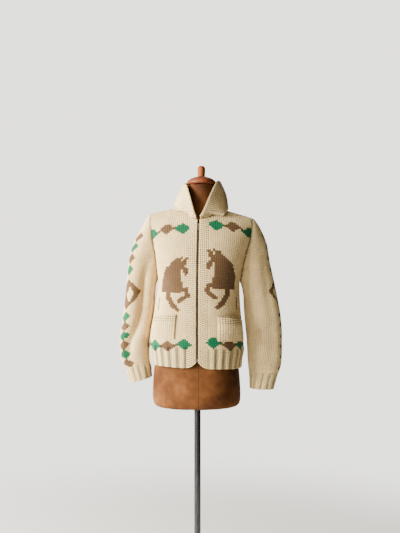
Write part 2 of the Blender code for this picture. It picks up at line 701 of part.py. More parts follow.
def collar_centre(k, share):
    """The middle of the collar's cloth: k runs from the neck seam up, over the roll and down to the edge."""
    side = LEFT if share < 0 else RIGHT
    here = min(abs(share), 1.0)
    read = collar_rows[side]
    lean = lean_rows["body_x"](SHOULDER_TOP_Z)
    seam = neck_seam(side, here)
    roll = Vector((side * read["roll_x"](here) + lean, read["roll_y"](here), read["roll_z"](here)))
    edge = Vector((side * read["edge_x"](here) + lean, read["edge_y"](here), read["edge_z"](here)))
    up = (roll - seam).normalized()
    seam += up * (WALL / 2 + GAP + COLLAR_LIFT)
    out = edge - roll
    out = (out - up * out.dot(up)).normalized()
    radius = COLLAR_FOLD_RADIUS
    middle = roll - up * radius
    if k < 0.35:
        return seam.lerp(middle - out * radius, k / 0.35)
    if k < 0.6:
        turn = math.pi * (1 - (k - 0.35) / 0.25)
        return middle + (out * math.cos(turn) + up * math.sin(turn)) * radius
    down = (k - 0.6) / 0.4
    start = middle + out * radius
    fall = edge - start
    aside = (out - fall.normalized() * out.dot(fall.normalized())).normalized()
    return over_shoulder(start.lerp(edge, down) + aside * read["bulge"](here) * math.sin(math.pi * down))


def add_collar():
    def place(k, share, out):
        inside_k = min(max(k, 0.002), 0.998)
        inside_share = min(max(share, -0.998), 0.998)
        face = normal_of(collar_centre, inside_k, inside_share, step=1e-3)
        return collar_centre(k, share) - face * (out + COLLAR_THICKNESS / 2)

    columns = [0.0, 0.175, 0.35, 0.4125, 0.475, 0.5375, 0.6, 0.7, 0.8, 0.9, 1.0]
    rows = [Row(share, columns, columns) for share in even(COLLAR_STATIONS, -1.0, 1.0)]
    return cloth("collar", rows, place, COLLAR_CREAM, thickness=COLLAR_THICKNESS)


def add_pocket(row, name):
    """A patch sewn on at its sides and bottom, open and slack at the top."""
    def place(u, v, out):
        top_z = mix(row.inner_top_z, row.outer_top_z, u)
        level = v_of(mix(row.bottom_z, top_z, v))
        angle = row.side * math.radians(mix(row.inner_angle, row.outer_angle, u))
        slack = row.bulge * math.sin(math.pi * u) ** 0.8 * math.sin(math.pi / 2 * min(1.0, v * 1.25)) ** 1.3
        return off_body(angle, level, POCKET_GAP + WALL + slack + out)

    columns = [0.0, 0.07, 0.2, 0.35, 0.5, 0.65, 0.8, 0.93, 1.0]
    levels = [0.0, 0.08, 0.25, 0.45, 0.65, 0.85, 1.0]
    return cloth(name, [Row(v, columns, columns) for v in levels], place, POCKET_CREAM)


def add_zip_strip(name, start, end, top, out, thickness, finish):
    """A strip of the zip, from `start` to `end` metres to the side of its middle line."""
    def place(u, v, proud):
        level = mix(v_of(ZIP_BOX_Z + CHAIN_START), top, v)
        return off_body(from_zip(mix(start, end, u), level), level, out + proud)

    rows = [Row(v, even(1), even(1)) for v in even(ZIP_ROWS)]
    return cloth(name, rows, place, finish, thickness=thickness)


def zip_frame(z):
    """A place on the zip's middle line: the point and the way out of the cloth."""
    v = yoke_v(z) if z > YOKE_Z else v_of(z)
    angle = from_zip(0.0, v)
    out = normal_of(body_point, angle, v)
    point = body_point(angle, v)
    point.x += out.x * ZIP_DEPTH
    out.x = 0
    return point, out.normalized()


def box_mesh(size):
    mesh = bmesh.new()
    bmesh.ops.create_cube(mesh, size=1.0)
    bmesh.ops.scale(mesh, vec=size, verts=mesh.verts)
    return mesh


def lay_on_zip(item, z, out):
    """Put an object on the zip with its -Y side out of the cloth and its Z along the zip."""
    point, face = zip_frame(z)
    item.location = point + face * out
    item.rotation_euler = (math.atan2(-face.z, -face.y), 0, 0)


def add_slider():
    """The slider's body, with the bridge that holds the pull tab."""
    slider = add_object("zip_slider", box_mesh(SLIDER_SIZE), BRONZE)
    lay_on_zip(slider, SLIDER_Z, ZIP_DEPTH)
    face = -SLIDER_SIZE[1] / 2
    axis = face - PULL_AXIS_OUT
    inner = BRIDGE_HOLE_RADIUS
    outer = BRIDGE_RADIUS
    root = face + BRIDGE_ROOT
    mesh = bmesh.new()
    arc = [math.radians(angle) for angle in range(0, 181, 30)]
    low = [(root, outer), (root, inner)]
    ends = [(root, -inner), (root, -outer)]
    outer_arc = [(axis - outer * math.sin(a), outer * math.cos(a)) for a in arc]
    inner_arc = [(axis - inner * math.sin(a), inner * math.cos(a)) for a in reversed(arc)]
    outline = [low[0]] + outer_arc + [ends[1], ends[0]] + inner_arc + [low[1]]
    count = len(outline)
    walls = []
    for x in (-BRIDGE_WIDTH / 2, BRIDGE_WIDTH / 2):
        walls.append([mesh.verts.new((x, y, z - PULL_AXIS_DOWN)) for y, z in outline])
    for i in range(count):
        after = (i + 1) % count
        mesh.faces.new((walls[0][i], walls[0][after], walls[1][after], walls[1][i]))
    half = count // 2
    for wall in walls:
        for i in range(half - 1):
            mesh.faces.new((wall[i], wall[i + 1], wall[count - 2 - i], wall[count - 1 - i]))
    bridge = add_object("zip_bridge_shape", mesh, BRONZE)
    lay_on_zip(bridge, SLIDER_Z, ZIP_DEPTH)
    bridge.hide_render = True
    bridge.display_type = "WIRE"
    union = slider.modifiers.new("bridge", "BOOLEAN")
    union.operation = "UNION"
    union.object = bridge
    return slider


def add_pull():
    """The pull tab, with the eye that hangs in the bridge. Its origin lies on its hinge."""
    mesh = bmesh.new()
    rows = []
    for row in PULL_ROWS:
        xs = (-row.half_width, -PULL_EYE_HALF_WIDTH, PULL_EYE_HALF_WIDTH, row.half_width)
        rows.append([mesh.verts.new((x, 0, -row.down)) for x in xs])
    for index, (upper, lower) in enumerate(zip(rows, rows[1:])):
        for column in range(3):
            if index == 1 and column == 1:
                continue
            mesh.faces.new((upper[column], upper[column + 1], lower[column + 1], lower[column]))
    pull = add_object("zip_pull", mesh, BRONZE)
    solid = pull.modifiers.new("thickness", "SOLIDIFY")
    solid.thickness = PULL_THICKNESS
    solid.offset = 0
    solid.use_even_offset = True
    lay_on_zip(pull, SLIDER_Z, ZIP_DEPTH + SLIDER_SIZE[1] / 2 + PULL_AXIS_OUT)
    down = pull.rotation_euler.to_matrix() @ Vector((0, 0, -PULL_AXIS_DOWN))
    pull.location += down
    return pull


def add_zip():
    slider_v = yoke_v(SLIDER_Z - CHAIN_END)
    tape_out = -WALL - TAPE_DEPTH
    for side, name in ((LEFT, "zip_tape_left"), (RIGHT, "zip_tape_right")):
        start, end = sorted((side * TAPE_INNER, side * TAPE_OUTER))
        add_zip_strip(name, start, end, FRONT_NECK_V - TAPE_BELOW_NECK, tape_out, TAPE_THICKNESS, TAPE)
    chain_out = ZIP_DEPTH + CHAIN_THICKNESS / 2
    half = CHAIN_HALF_WIDTH
    add_zip_strip("zip_chain", -half, half, slider_v, chain_out, CHAIN_THICKNESS, BRONZE)
    end_box = add_object("zip_box", box_mesh(ZIP_BOX_SIZE), BRONZE)
    lay_on_zip(end_box, ZIP_BOX_Z, ZIP_DEPTH)
    add_slider()
    add_pull()


def form_point(share, v, facing):
    """A point of the dress form: facing -1 is its front and 1 its back; share runs across it, -1 to 1."""
    z = HEM_Z + (YOKE_Z - HEM_Z) * v
    angle = share * math.pi / 2
    half_width = form_rows["half_width"](z)
    depth = form_rows["front" if facing < 0 else "back"](z)
    x = half_width * math.sin(angle) * (1 + SQUARENESS / 2 * math.cos(angle) ** 2)
    y = facing * depth * math.cos(angle) * (1 + SQUARENESS / 2 * math.sin(angle) ** 2)
    tilt = TILT * smooth((z - 1.0) / (YOKE_Z - 1.0))
    own = Vector((x + lean_rows["body_x"](z), y, z - tilt * x))
    cover = smooth((v - 0.88) / 0.24)
    if cover <= 0:
        return own
    reach = mix(form_rows["half_width"](YOKE_Z), FORM_SHOULDER_HALF_WIDTH, smooth((v - 1) / 0.6))
    edge = angle_at(reach, v)
    body_angle = share * edge if facing < 0 else math.pi - share * edge
    air = FORM_AIR * smooth((2 - v) / 0.55)
    under_cloth = off_body(body_angle, min(v, 2.0), -WALL - FORM_CLEARANCE - air)
    return own.lerp(under_cloth, cover)


def form_level(v, share, facing):
    """Levels above the chest, drawn down for the columns that end at the neck."""
    neck = abs(share) / FORM_NECK_ANGLE_SHARE
    if v <= 1 or neck >= 1 - 1e-6:
        return v
    low = FORM_FRONT_NECK_V if facing < 0 else FORM_BACK_NECK_V
    top = mix(low, 2, 1 - math.sqrt(1 - neck * neck))
    return mix(1, top, v - 1)


def add_form():
    mesh = bmesh.new()
    shares = sorted([-share for share in FORM_COLUMNS if share] + list(FORM_COLUMNS))
    levels = [v_of(z) for z in FORM_HEIGHTS] + list(FORM_UPPER_LEVELS)
    grids = {}
    for facing in (-1, 1):
        grid = []
        for row, v in enumerate(levels):
            line = []
            for column, share in enumerate(shares):
                point = form_point(share, form_level(v, share, facing), facing)
                other = grids[-1][row][column] if facing == 1 else None
                ridge = v >= 2 and abs(share) >= FORM_NECK_ANGLE_SHARE - 1e-6
                shared = other is not None and (ridge or (other.co - point).length < 1e-5)
                line.append(other if shared else mesh.verts.new(point))
            grid.append(line)
        grids[facing] = grid
        for low, high in zip(grid, grid[1:]):
            for column in range(len(shares) - 1):
                mesh.faces.new((low[column], low[column + 1], high[column + 1], high[column]))
    for column in (0, -1):
        for row in range(len(levels) - 1):
            corners = [grids[-1][row][column], grids[-1][row + 1][column]]
            corners += [grids[1][row + 1][column], grids[1][row][column]]
            corners = [item for i, item in enumerate(corners) if item not in corners[:i]]
            if len(corners) > 2:
                mesh.faces.new(corners)
    mesh.faces.new(grids[-1][0] + list(reversed(grids[1][0][1:-1])))
    neck = [i for i, share in enumerate(shares) if abs(share) <= FORM_NECK_ANGLE_SHARE + 1e-6]
    ring = [grids[-1][-1][i] for i in neck] + [grids[1][-1][i] for i in reversed(neck[1:-1])]
    angles = [shares[i] / FORM_NECK_ANGLE_SHARE * math.pi / 2 for i in neck]
    angles += [math.pi - shares[i] / FORM_NECK_ANGLE_SHARE * math.pi / 2 for i in reversed(neck[1:-1])]
    for row in NECK:
        upper = []
        for angle in angles:
            depth = row.front if math.cos(angle) > 0 else row.back
            x = row.half_width * math.sin(angle)
            spot = (x + lean_rows["body_x"](row.z), -depth * math.cos(angle), row.z)
            upper.append(mesh.verts.new(spot))
        for i in range(len(ring)):
            after = (i + 1) % len(ring)
            mesh.faces.new((ring[i], ring[after], upper[after], upper[i]))
        ring = upper
    mesh.faces.new(ring)
    return add_object("form_torso", mesh, CANVAS, sharp=60)


def add_turned(name, profile, finish, middle=(0, 0), segments=32):
    """A turned piece: the profile lists (radius, height) from its foot to its top."""
    mesh = bmesh.new()
    rings = []
    for radius, z in profile:
        ring = []
        for i in range(segments):
            angle = 2 * math.pi * i / segments
            x = middle[0] + radius * math.cos(angle)
            y = middle[1] + radius * math.sin(angle)
            ring.append(mesh.verts.new((x, y, z)))
        rings.append(ring)
    for low, high in zip(rings, rings[1:]):
        for i in range(segments):
            after = (i + 1) % segments
            mesh.faces.new((low[i], low[after], high[after], high[i]))
    mesh.faces.new(rings[0])
    mesh.faces.new(rings[-1])
    return add_object(name, mesh, finish, sharp=40)


def add_stand():
    """The neck cap and its finial, the pole and the round base."""
    neck_middle = (lean_rows["body_x"](FORM_NECK_TOP_Z), (NECK[-1].back - NECK[-1].front) / 2)
    foot = FORM_NECK_TOP_Z + GAP
    cap = [(CAP_RADIUS - 0.004, foot), (CAP_RADIUS, foot + 0.004), (CAP_RADIUS, foot + 0.009)]
    cap += [(CAP_RADIUS - 0.003, foot + CAP_FOOT), (CAP_RADIUS * 0.76, foot + 0.0205)]
    cap += [(CAP_RADIUS * 0.48, foot + 0.0255), (FINIAL_RADIUS, foot + 0.0285)]
    add_turned("neck_cap", cap, CAP_WOOD, neck_middle)
    low = cap[-1][1] + GAP
    finial = [(FINIAL_RADIUS - 0.0018, low), (FINIAL_RADIUS - 0.0006, low + 0.006)]
    finial += [(FINIAL_RADIUS, low + 0.020), (FINIAL_RADIUS, FINIAL_TOP_Z - 0.010)]
    finial += [(FINIAL_RADIUS * 0.86, FINIAL_TOP_Z - 0.0045), (FINIAL_RADIUS * 0.50, FINIAL_TOP_Z)]
    add_turned("finial", finial, FINIAL_WOOD, neck_middle, segments=24)
    pole = [(POLE_RADIUS, HUB_TOP_Z + GAP), (POLE_RADIUS, FORM[0].z - GAP)]
    add_turned("pole", pole, STEEL, segments=24)
    base = [(BASE_RADIUS, 0.0), (BASE_RADIUS, BASE_THICKNESS - 0.004), (BASE_RADIUS - 0.004, BASE_THICKNESS)]
    base += [(BASE_HUB_RADIUS * 1.5, BASE_THICKNESS + 0.004), (BASE_HUB_RADIUS * 1.1, BASE_THICKNESS + 0.012)]
    base += [(BASE_HUB_RADIUS, HUB_TOP_Z - 0.003), (BASE_HUB_RADIUS - 0.003, HUB_TOP_Z)]
    add_turned("base", base, IRON, segments=48)


def main():
    clear_scene()
    add_form()
    add_stand()
    add_back()
    add_front(LEFT, "front_left")
    add_front(RIGHT, "front_right")
    add_band(LEFT, "band_left")
    add_band(RIGHT, "band_right")
    add_sleeve(LEFT, "sleeve_left")
    add_sleeve(RIGHT, "sleeve_right")
    add_collar()
    for row, name in zip(POCKETS, ("pocket_left", "pocket_right")):
        add_pocket(row, name)
    add_zip()


main()
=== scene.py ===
# %% [markdown]
# A hand-knitted cowichan sweater, zipped up on a limbless dress form.
# The frame holds every piece at its real size: the knitted walls, the form, the pole, the base and the zip.
# This script gives them their finish. The sweater is knitted here stitch by stitch, on the same surfaces
# that the frame's walls have, so that the yarn lies where the cloth is.

# %% Load the frame
import json
import math
from collections import namedtuple

import bmesh
import bpy
import numpy as np
from mathutils import Vector
from mathutils.kdtree import KDTree
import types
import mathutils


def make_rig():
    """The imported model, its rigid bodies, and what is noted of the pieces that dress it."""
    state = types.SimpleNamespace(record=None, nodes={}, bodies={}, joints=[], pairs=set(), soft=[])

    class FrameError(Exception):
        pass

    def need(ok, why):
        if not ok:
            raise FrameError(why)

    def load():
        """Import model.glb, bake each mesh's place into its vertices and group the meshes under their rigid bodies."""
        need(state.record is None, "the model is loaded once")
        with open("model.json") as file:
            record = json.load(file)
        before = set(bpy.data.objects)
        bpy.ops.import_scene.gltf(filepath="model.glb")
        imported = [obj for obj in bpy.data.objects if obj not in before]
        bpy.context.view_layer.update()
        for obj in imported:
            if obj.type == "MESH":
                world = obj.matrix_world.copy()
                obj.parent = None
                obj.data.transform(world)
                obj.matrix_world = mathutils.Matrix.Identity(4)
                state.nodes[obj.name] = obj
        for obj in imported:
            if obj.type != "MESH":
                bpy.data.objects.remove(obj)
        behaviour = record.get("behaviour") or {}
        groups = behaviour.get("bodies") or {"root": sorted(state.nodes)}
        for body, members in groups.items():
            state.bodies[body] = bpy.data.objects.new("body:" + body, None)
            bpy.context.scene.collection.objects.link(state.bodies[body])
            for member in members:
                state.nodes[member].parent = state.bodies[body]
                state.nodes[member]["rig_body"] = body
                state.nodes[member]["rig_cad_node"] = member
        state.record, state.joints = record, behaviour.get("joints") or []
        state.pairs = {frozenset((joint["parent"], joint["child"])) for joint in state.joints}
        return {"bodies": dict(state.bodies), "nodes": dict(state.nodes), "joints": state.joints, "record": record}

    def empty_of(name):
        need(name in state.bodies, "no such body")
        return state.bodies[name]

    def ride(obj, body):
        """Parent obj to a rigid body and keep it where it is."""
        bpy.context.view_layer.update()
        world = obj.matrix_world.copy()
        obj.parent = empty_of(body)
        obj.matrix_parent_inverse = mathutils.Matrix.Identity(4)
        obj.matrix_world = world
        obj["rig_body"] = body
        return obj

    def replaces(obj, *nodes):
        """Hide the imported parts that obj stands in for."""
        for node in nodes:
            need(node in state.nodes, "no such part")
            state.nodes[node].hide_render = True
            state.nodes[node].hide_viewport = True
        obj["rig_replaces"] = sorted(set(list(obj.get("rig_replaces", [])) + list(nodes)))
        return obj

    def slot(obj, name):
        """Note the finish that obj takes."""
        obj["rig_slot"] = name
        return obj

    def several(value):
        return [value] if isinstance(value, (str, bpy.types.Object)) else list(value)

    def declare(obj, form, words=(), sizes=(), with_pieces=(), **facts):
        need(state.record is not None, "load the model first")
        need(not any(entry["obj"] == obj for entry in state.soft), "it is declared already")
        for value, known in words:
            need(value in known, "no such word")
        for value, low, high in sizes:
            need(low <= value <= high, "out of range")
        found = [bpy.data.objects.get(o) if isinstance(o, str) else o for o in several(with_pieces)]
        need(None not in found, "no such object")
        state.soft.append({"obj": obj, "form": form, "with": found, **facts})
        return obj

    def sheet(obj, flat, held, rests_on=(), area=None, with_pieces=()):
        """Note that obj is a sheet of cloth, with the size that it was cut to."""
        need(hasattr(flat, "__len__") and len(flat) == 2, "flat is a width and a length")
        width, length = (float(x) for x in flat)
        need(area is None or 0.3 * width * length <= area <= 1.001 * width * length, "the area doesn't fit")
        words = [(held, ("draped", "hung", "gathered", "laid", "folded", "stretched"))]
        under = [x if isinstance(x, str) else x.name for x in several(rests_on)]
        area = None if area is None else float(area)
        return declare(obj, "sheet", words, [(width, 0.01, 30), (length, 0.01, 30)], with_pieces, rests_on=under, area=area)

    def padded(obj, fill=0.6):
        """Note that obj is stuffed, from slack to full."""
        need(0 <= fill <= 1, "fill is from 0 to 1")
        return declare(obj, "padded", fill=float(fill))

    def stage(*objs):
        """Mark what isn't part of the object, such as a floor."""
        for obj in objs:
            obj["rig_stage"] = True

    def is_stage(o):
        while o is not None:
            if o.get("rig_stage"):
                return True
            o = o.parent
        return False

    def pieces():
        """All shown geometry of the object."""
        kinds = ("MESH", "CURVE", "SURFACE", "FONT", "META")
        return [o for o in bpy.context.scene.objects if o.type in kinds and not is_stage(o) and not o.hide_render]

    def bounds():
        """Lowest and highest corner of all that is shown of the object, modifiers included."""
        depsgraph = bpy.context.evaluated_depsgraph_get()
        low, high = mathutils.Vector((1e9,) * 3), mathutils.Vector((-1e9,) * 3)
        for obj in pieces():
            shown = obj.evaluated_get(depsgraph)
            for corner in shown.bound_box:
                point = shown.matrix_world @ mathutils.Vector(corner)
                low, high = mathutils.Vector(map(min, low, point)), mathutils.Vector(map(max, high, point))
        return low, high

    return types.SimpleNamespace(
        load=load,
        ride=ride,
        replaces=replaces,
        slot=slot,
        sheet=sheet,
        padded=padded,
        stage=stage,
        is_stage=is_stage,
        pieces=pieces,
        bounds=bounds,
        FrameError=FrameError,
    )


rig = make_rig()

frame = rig.load()
nodes = frame["nodes"]
cad_bounds = [list(corner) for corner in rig.bounds()]
LEFT = -1
RIGHT = 1
print("nodes:", len(nodes), "box:", cad_bounds)

# %% [markdown]
# The camera stands where the photographer stood: level with the middle of the sweater and three metres away.
# A phone or camera held level keeps the pole and the zip upright, so the camera is not tilted.

# %% Camera
CAMERA_HEIGHT = 1.180
CAMERA_DISTANCE = 3.0
CAMERA_SIDE = 0.0093
VIEW_HEIGHT = 1.972
camera_data = bpy.data.cameras.new("camera")
camera_data.sensor_fit = "VERTICAL"
camera_data.angle = 2 * math.atan(VIEW_HEIGHT / 2 / CAMERA_DISTANCE)
camera = bpy.data.objects.new("camera", camera_data)
camera.location = (CAMERA_SIDE, -CAMERA_DISTANCE, CAMERA_HEIGHT)
camera.rotation_euler = (math.pi / 2, 0, 0)
bpy.context.scene.collection.objects.link(camera)
bpy.context.scene.camera = camera
print("camera at", tuple(camera.location))

# %% [markdown]
# Every finish here is a Principled shader with a few noise and wave textures on the piece's own coordinates.
# Short helpers make the nodes, so that a material reads as what it is made of.

# %% Helpers for materials
def new_material(name, colour, roughness, metallic=0.0, **inputs):
    """A Principled material, with its node tree, its shader and its object coordinates."""
    material = bpy.data.materials.new(name)
    material.use_nodes = True
    tree = material.node_tree
    shader = tree.nodes["Principled BSDF"]
    shader.inputs["Base Color"].default_value = (*colour, 1)
    shader.inputs["Roughness"].default_value = roughness
    shader.inputs["Metallic"].default_value = metallic
    for socket, value in inputs.items():
        shader.inputs[socket.replace("_", " ")].default_value = value
    where = tree.nodes.new("ShaderNodeTexCoord").outputs["Object"]
    return material, tree, shader, where


def node(tree, kind, **settings):
    made = tree.nodes.new(kind)
    for name, value in settings.items():
        if name in made.inputs:
            made.inputs[name].default_value = value
        else:
            setattr(made, name, value)
    return made


def noise(tree, where, scale, detail=2.0, stretch=(1, 1, 1)):
    """A noise value on a piece's own coordinates, `scale` to the metre."""
    mapping = node(tree, "ShaderNodeMapping")
    mapping.inputs["Scale"].default_value = stretch
    tree.links.new(where, mapping.inputs["Vector"])
    made = node(tree, "ShaderNodeTexNoise", Scale=scale, Detail=detail)
    tree.links.new(mapping.outputs["Vector"], made.inputs["Vector"])
    return made.outputs["Fac"]


def ramp(tree, value, stops):
    """A colour ramp: stops are (position, colour)."""
    made = node(tree, "ShaderNodeValToRGB")
    elements = made.color_ramp.elements
    while len(elements) < len(stops):
        elements.new(0.5)
    for element, (position, colour) in zip(elements, stops):
        element.position = position
        element.color = (*colour, 1)
    tree.links.new(value, made.inputs["Fac"])
    return made.outputs["Color"]


def blended(tree, kind, factor, first, second):
    """Two colours mixed; the factor and the colours may be sockets or values."""
    made = node(tree, "ShaderNodeMix", data_type="RGBA", blend_type=kind)
    for index, value in ((0, factor), (6, first), (7, second)):
        if isinstance(value, bpy.types.NodeSocket):
            tree.links.new(value, made.inputs[index])
        else:
            made.inputs[index].default_value = value if index == 0 else (*value, 1)
    return made.outputs[2]


def bump(tree, shader, height, strength, distance):
    made = node(tree, "ShaderNodeBump", Strength=strength, Distance=distance)
    tree.links.new(height, made.inputs["Height"])
    tree.links.new(made.outputs["Normal"], shader.inputs["Normal"])


def eased(tree, value, lowest, highest):
    """How far a value has come from the lowest to the highest, easing in and out."""
    made = node(tree, "ShaderNodeMapRange", interpolation_type="SMOOTHSTEP")
    made.inputs["From Min"].default_value = lowest
    made.inputs["From Max"].default_value = highest
    tree.links.new(value, made.inputs["Value"])
    return made


def give(node_name, material):
    """Put a material on a piece of the frame."""
    nodes[node_name].data.materials.clear()
    nodes[node_name].data.materials.append(material)


print("material helpers ready")

# %% [markdown]
# The room is a world colour that depends on direction: a bright wall behind the stand, a pale wall on the
# daylight's side and a dark one across from it, which leaves the right sleeve in shade as in the photo.

# %% The room
BEHIND = (2.45, 2.42, 2.28)
LEFT_WALL = (0.80, 0.78, 0.72)
RIGHT_WALL = (0.03, 0.021, 0.013)
SIDE_TURN = 0.7
BACK_FROM = 0.70
BACK_TO = 0.88
world = bpy.data.worlds.new("room")
world.use_nodes = True
tree = world.node_tree
towards = node(tree, "ShaderNodeTexCoord").outputs["Generated"]
split = node(tree, "ShaderNodeSeparateXYZ")
tree.links.new(towards, split.inputs["Vector"])
side_share = eased(tree, split.outputs["X"], -SIDE_TURN, SIDE_TURN)
walls = blended(tree, "MIX", side_share.outputs["Result"], LEFT_WALL, RIGHT_WALL)
back_share = eased(tree, split.outputs["Y"], BACK_FROM, BACK_TO)
room = blended(tree, "MIX", back_share.outputs["Result"], walls, BEHIND)
tree.links.new(room, tree.nodes["Background"].inputs["Color"])
bpy.context.scene.world = world
print("room:", world.name)

# %% [markdown]
# Soft daylight comes from the left, and a weak warm light from the front keeps the shadows open.
# The floor is a wide pale disc that fades out, so that no horizon shows behind the stand.

# %% Lamps and floor
Lamp = namedtuple("Lamp", "name place size watts colour")
LAMPS = (
    Lamp("daylight", (-2.90, -1.42, 1.8), 1.6, 640, (1.0, 0.98, 0.92)),
    Lamp("fill", (-1.2, -3.1, 1.7), 1.8, 27, (1.0, 0.95, 0.82)),
)
CHEST = Vector((0, 0, 1.1))
for lamp in LAMPS:
    light = bpy.data.lights.new(lamp.name, "AREA")
    light.size = lamp.size
    light.energy = lamp.watts
    light.color = lamp.colour
    holder = bpy.data.objects.new(lamp.name, light)
    holder.location = lamp.place
    holder.rotation_euler = (CHEST - Vector(lamp.place)).to_track_quat("-Z", "Y").to_euler()
    bpy.context.scene.collection.objects.link(holder)

FLOOR_RADIUS = 2.2
FADE_FROM = 0.7
FADE_TO = 2.1
bpy.ops.mesh.primitive_circle_add(vertices=96, radius=FLOOR_RADIUS, fill_type="NGON", location=(0, 0, 0))
floor = bpy.context.object
floor.name = "floor"
floor_material, tree, shader, where = new_material("pale_floor", (0.80, 0.79, 0.75), 0.8)
reach = node(tree, "ShaderNodeVectorMath", operation="LENGTH")
tree.links.new(where, reach.inputs[0])
fade = eased(tree, reach.outputs["Value"], FADE_FROM, FADE_TO)
fade.inputs["To Min"].default_value = 1.0
fade.inputs["To Max"].default_value = 0.0
tree.links.new(fade.outputs["Result"], shader.inputs["Alpha"])
floor.data.materials.append(floor_material)
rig.stage(floor)
print("lamps:", [lamp.name for lamp in LAMPS])

# %% [markdown]
# The sweater's surfaces are the frame's own. A few short tables give the body's width and depth at each
# height, the armhole, the lean of the body and of the zip, each sleeve and the collar. The functions below
# turn them into points, for whole arrays at once, because thousands of stitches are laid on them. A level, v,
# is 0 at the hem, 1 at the yoke and 2 at the top of the shoulder.

# %% Sizes of the sweater
WALL = 0.0045
HEM_Z = 0.8175
ARMPIT_Z = 1.128
YOKE_Z = 1.220
SHOULDER_TOP_Z = 1.4138
SHOULDER_SLOPE = 0.25
SQUARENESS = 0.12
TILT = 0.045
TOP_V = 2.0
SHOULDER_SEAM_V = 1.9984
LAST_GRID_V = 1.9995
LAST_FACE_V = 1.995
HEM_RIB_V = 0.165
RIB_END_V = 0.205
RIB_HEIGHT = 0.0034
RIB_SWELL = 1.3
RIB_DIP = 0.0016
FRONT_RIBS = 7
BACK_RIBS = 18
NECK_HALF_WIDTH = 0.068
FRONT_NECK_V = 1.477
BACK_NECK_V = 1.66
BAND_GAP_HALF = 0.0044
BAND_WIDTH = 0.0341
BAND_CORNER_RISE = 0.020
SEAM_GAP = 0.0003
SIDE_SEAM_ANGLE = 0.0014
NEARLY = 1e-6
SLIDER_Z = 1.333
ZIP_BOX_Z = 0.846

BodyRow = namedtuple("BodyRow", "z half_width front back")
BODY = (
    BodyRow(0.8175, 0.1640, 0.1280, 0.1280),
    BodyRow(0.8500, 0.1665, 0.1320, 0.1320),
    BodyRow(0.8850, 0.1725, 0.1370, 0.1370),
    BodyRow(0.9300, 0.1710, 0.1380, 0.1360),
    BodyRow(0.9800, 0.1640, 0.1360, 0.1310),
    BodyRow(1.0500, 0.1550, 0.1330, 0.1250),
    BodyRow(1.1280, 0.1500, 0.1310, 0.1210),
    BodyRow(1.2200, 0.1500, 0.1280, 0.1180),
)
ArmholeRow = namedtuple("ArmholeRow", "rise half_width")
ARMHOLE = (
    ArmholeRow(0.00, 0.150),
    ArmholeRow(0.25, 0.165),
    ArmholeRow(0.50, 0.180),
    ArmholeRow(0.75, 0.186),
    ArmholeRow(1.00, 0.188),
)
ARMHOLE_TURN = math.radians(38)
ARMHOLE_ROUNDNESS = 0.4
LeanRow = namedtuple("LeanRow", "z body_x zip_x")
LEAN = (
    LeanRow(0.66, -0.0025, -0.0006),
    LeanRow(0.82, -0.0035, -0.0006),
    LeanRow(1.13, 0.0050, 0.0000),
    LeanRow(1.37, 0.0148, 0.0040),
    LeanRow(1.52, 0.0142, 0.0045),
)
print("body rows:", len(BODY))

# %% The body's surface
def smooth(share):
    share = np.clip(share, 0.0, 1.0)
    return share * share * (3 - 2 * share)


def curve(rows, key, column):
    """A smooth function of one column of a table, through its rows, that never overshoots."""
    keys = np.array([getattr(row, key) for row in rows], float)
    values = np.array([getattr(row, column) for row in rows], float)
    steps = np.diff(values) / np.diff(keys)
    before, after = steps[:-1], steps[1:]
    same = before * after > 0
    inner = np.where(same, 2 * before * after / np.where(same, before + after, 1.0), 0.0)
    slopes = np.concatenate([steps[:1], inner, steps[-1:]])

    def value(at):
        at = np.clip(at, keys[0], keys[-1])
        i = np.clip(np.searchsorted(keys, at, side="right") - 1, 0, len(keys) - 2)
        width = keys[i + 1] - keys[i]
        t = (at - keys[i]) / width
        start = values[i] * (1 + 2 * t) + slopes[i] * width * t
        end = values[i + 1] * (3 - 2 * t) - slopes[i + 1] * width * (1 - t)
        return start * (1 - t) ** 2 + end * t ** 2

    return value


def curves(rows, key):
    """A smooth function for every other column of a table."""
    return {name: curve(rows, key, name) for name in rows[0]._fields if name != key}


body_rows = curves(BODY, "z")
armhole_rows = curves(ARMHOLE, "rise")
lean_rows = curves(LEAN, "z")
BodySizes = namedtuple("BodySizes", "z half_width front back side_angle")
ARMPIT_V = (ARMPIT_Z - HEM_Z) / (YOKE_Z - HEM_Z)


def v_of(z):
    """The level at a height below the yoke."""
    return (z - HEM_Z) / (YOKE_Z - HEM_Z)


def yoke_v(z):
    """The level at a height above the yoke."""
    return 1 + np.arcsin((z - YOKE_Z) / (SHOULDER_TOP_Z - YOKE_Z)) * 2 / math.pi


def reach_of(angle):
    """How far out a point lies at an angle, as a share of the half-width."""
    return np.sin(angle) * (1 + SQUARENESS * np.cos(angle) ** 2)


def body_sizes(v):
    """The body's height, half-width and depths at a level, and the angle where its side ends."""
    v = np.asarray(v, float)
    turn = np.maximum(v - 1, 0) * math.pi / 2
    z = np.where(v <= 1, HEM_Z + (YOKE_Z - HEM_Z) * v, YOKE_Z + (SHOULDER_TOP_Z - YOKE_Z) * np.sin(turn))
    front = body_rows["front"](np.minimum(z, YOKE_Z)) * np.cos(turn)
    back = body_rows["back"](np.minimum(z, YOKE_Z)) * np.cos(turn)
    rise = np.clip((v - ARMPIT_V) / (2 - ARMPIT_V), 0, 1)
    side_angle = math.pi / 2 - ARMHOLE_TURN * rise ** ARMHOLE_ROUNDNESS
    at_armhole = armhole_rows["half_width"](rise) / reach_of(side_angle)
    half_width = np.where(v <= ARMPIT_V, body_rows["half_width"](z), at_armhole)
    return BodySizes(z, half_width, front, back, side_angle)


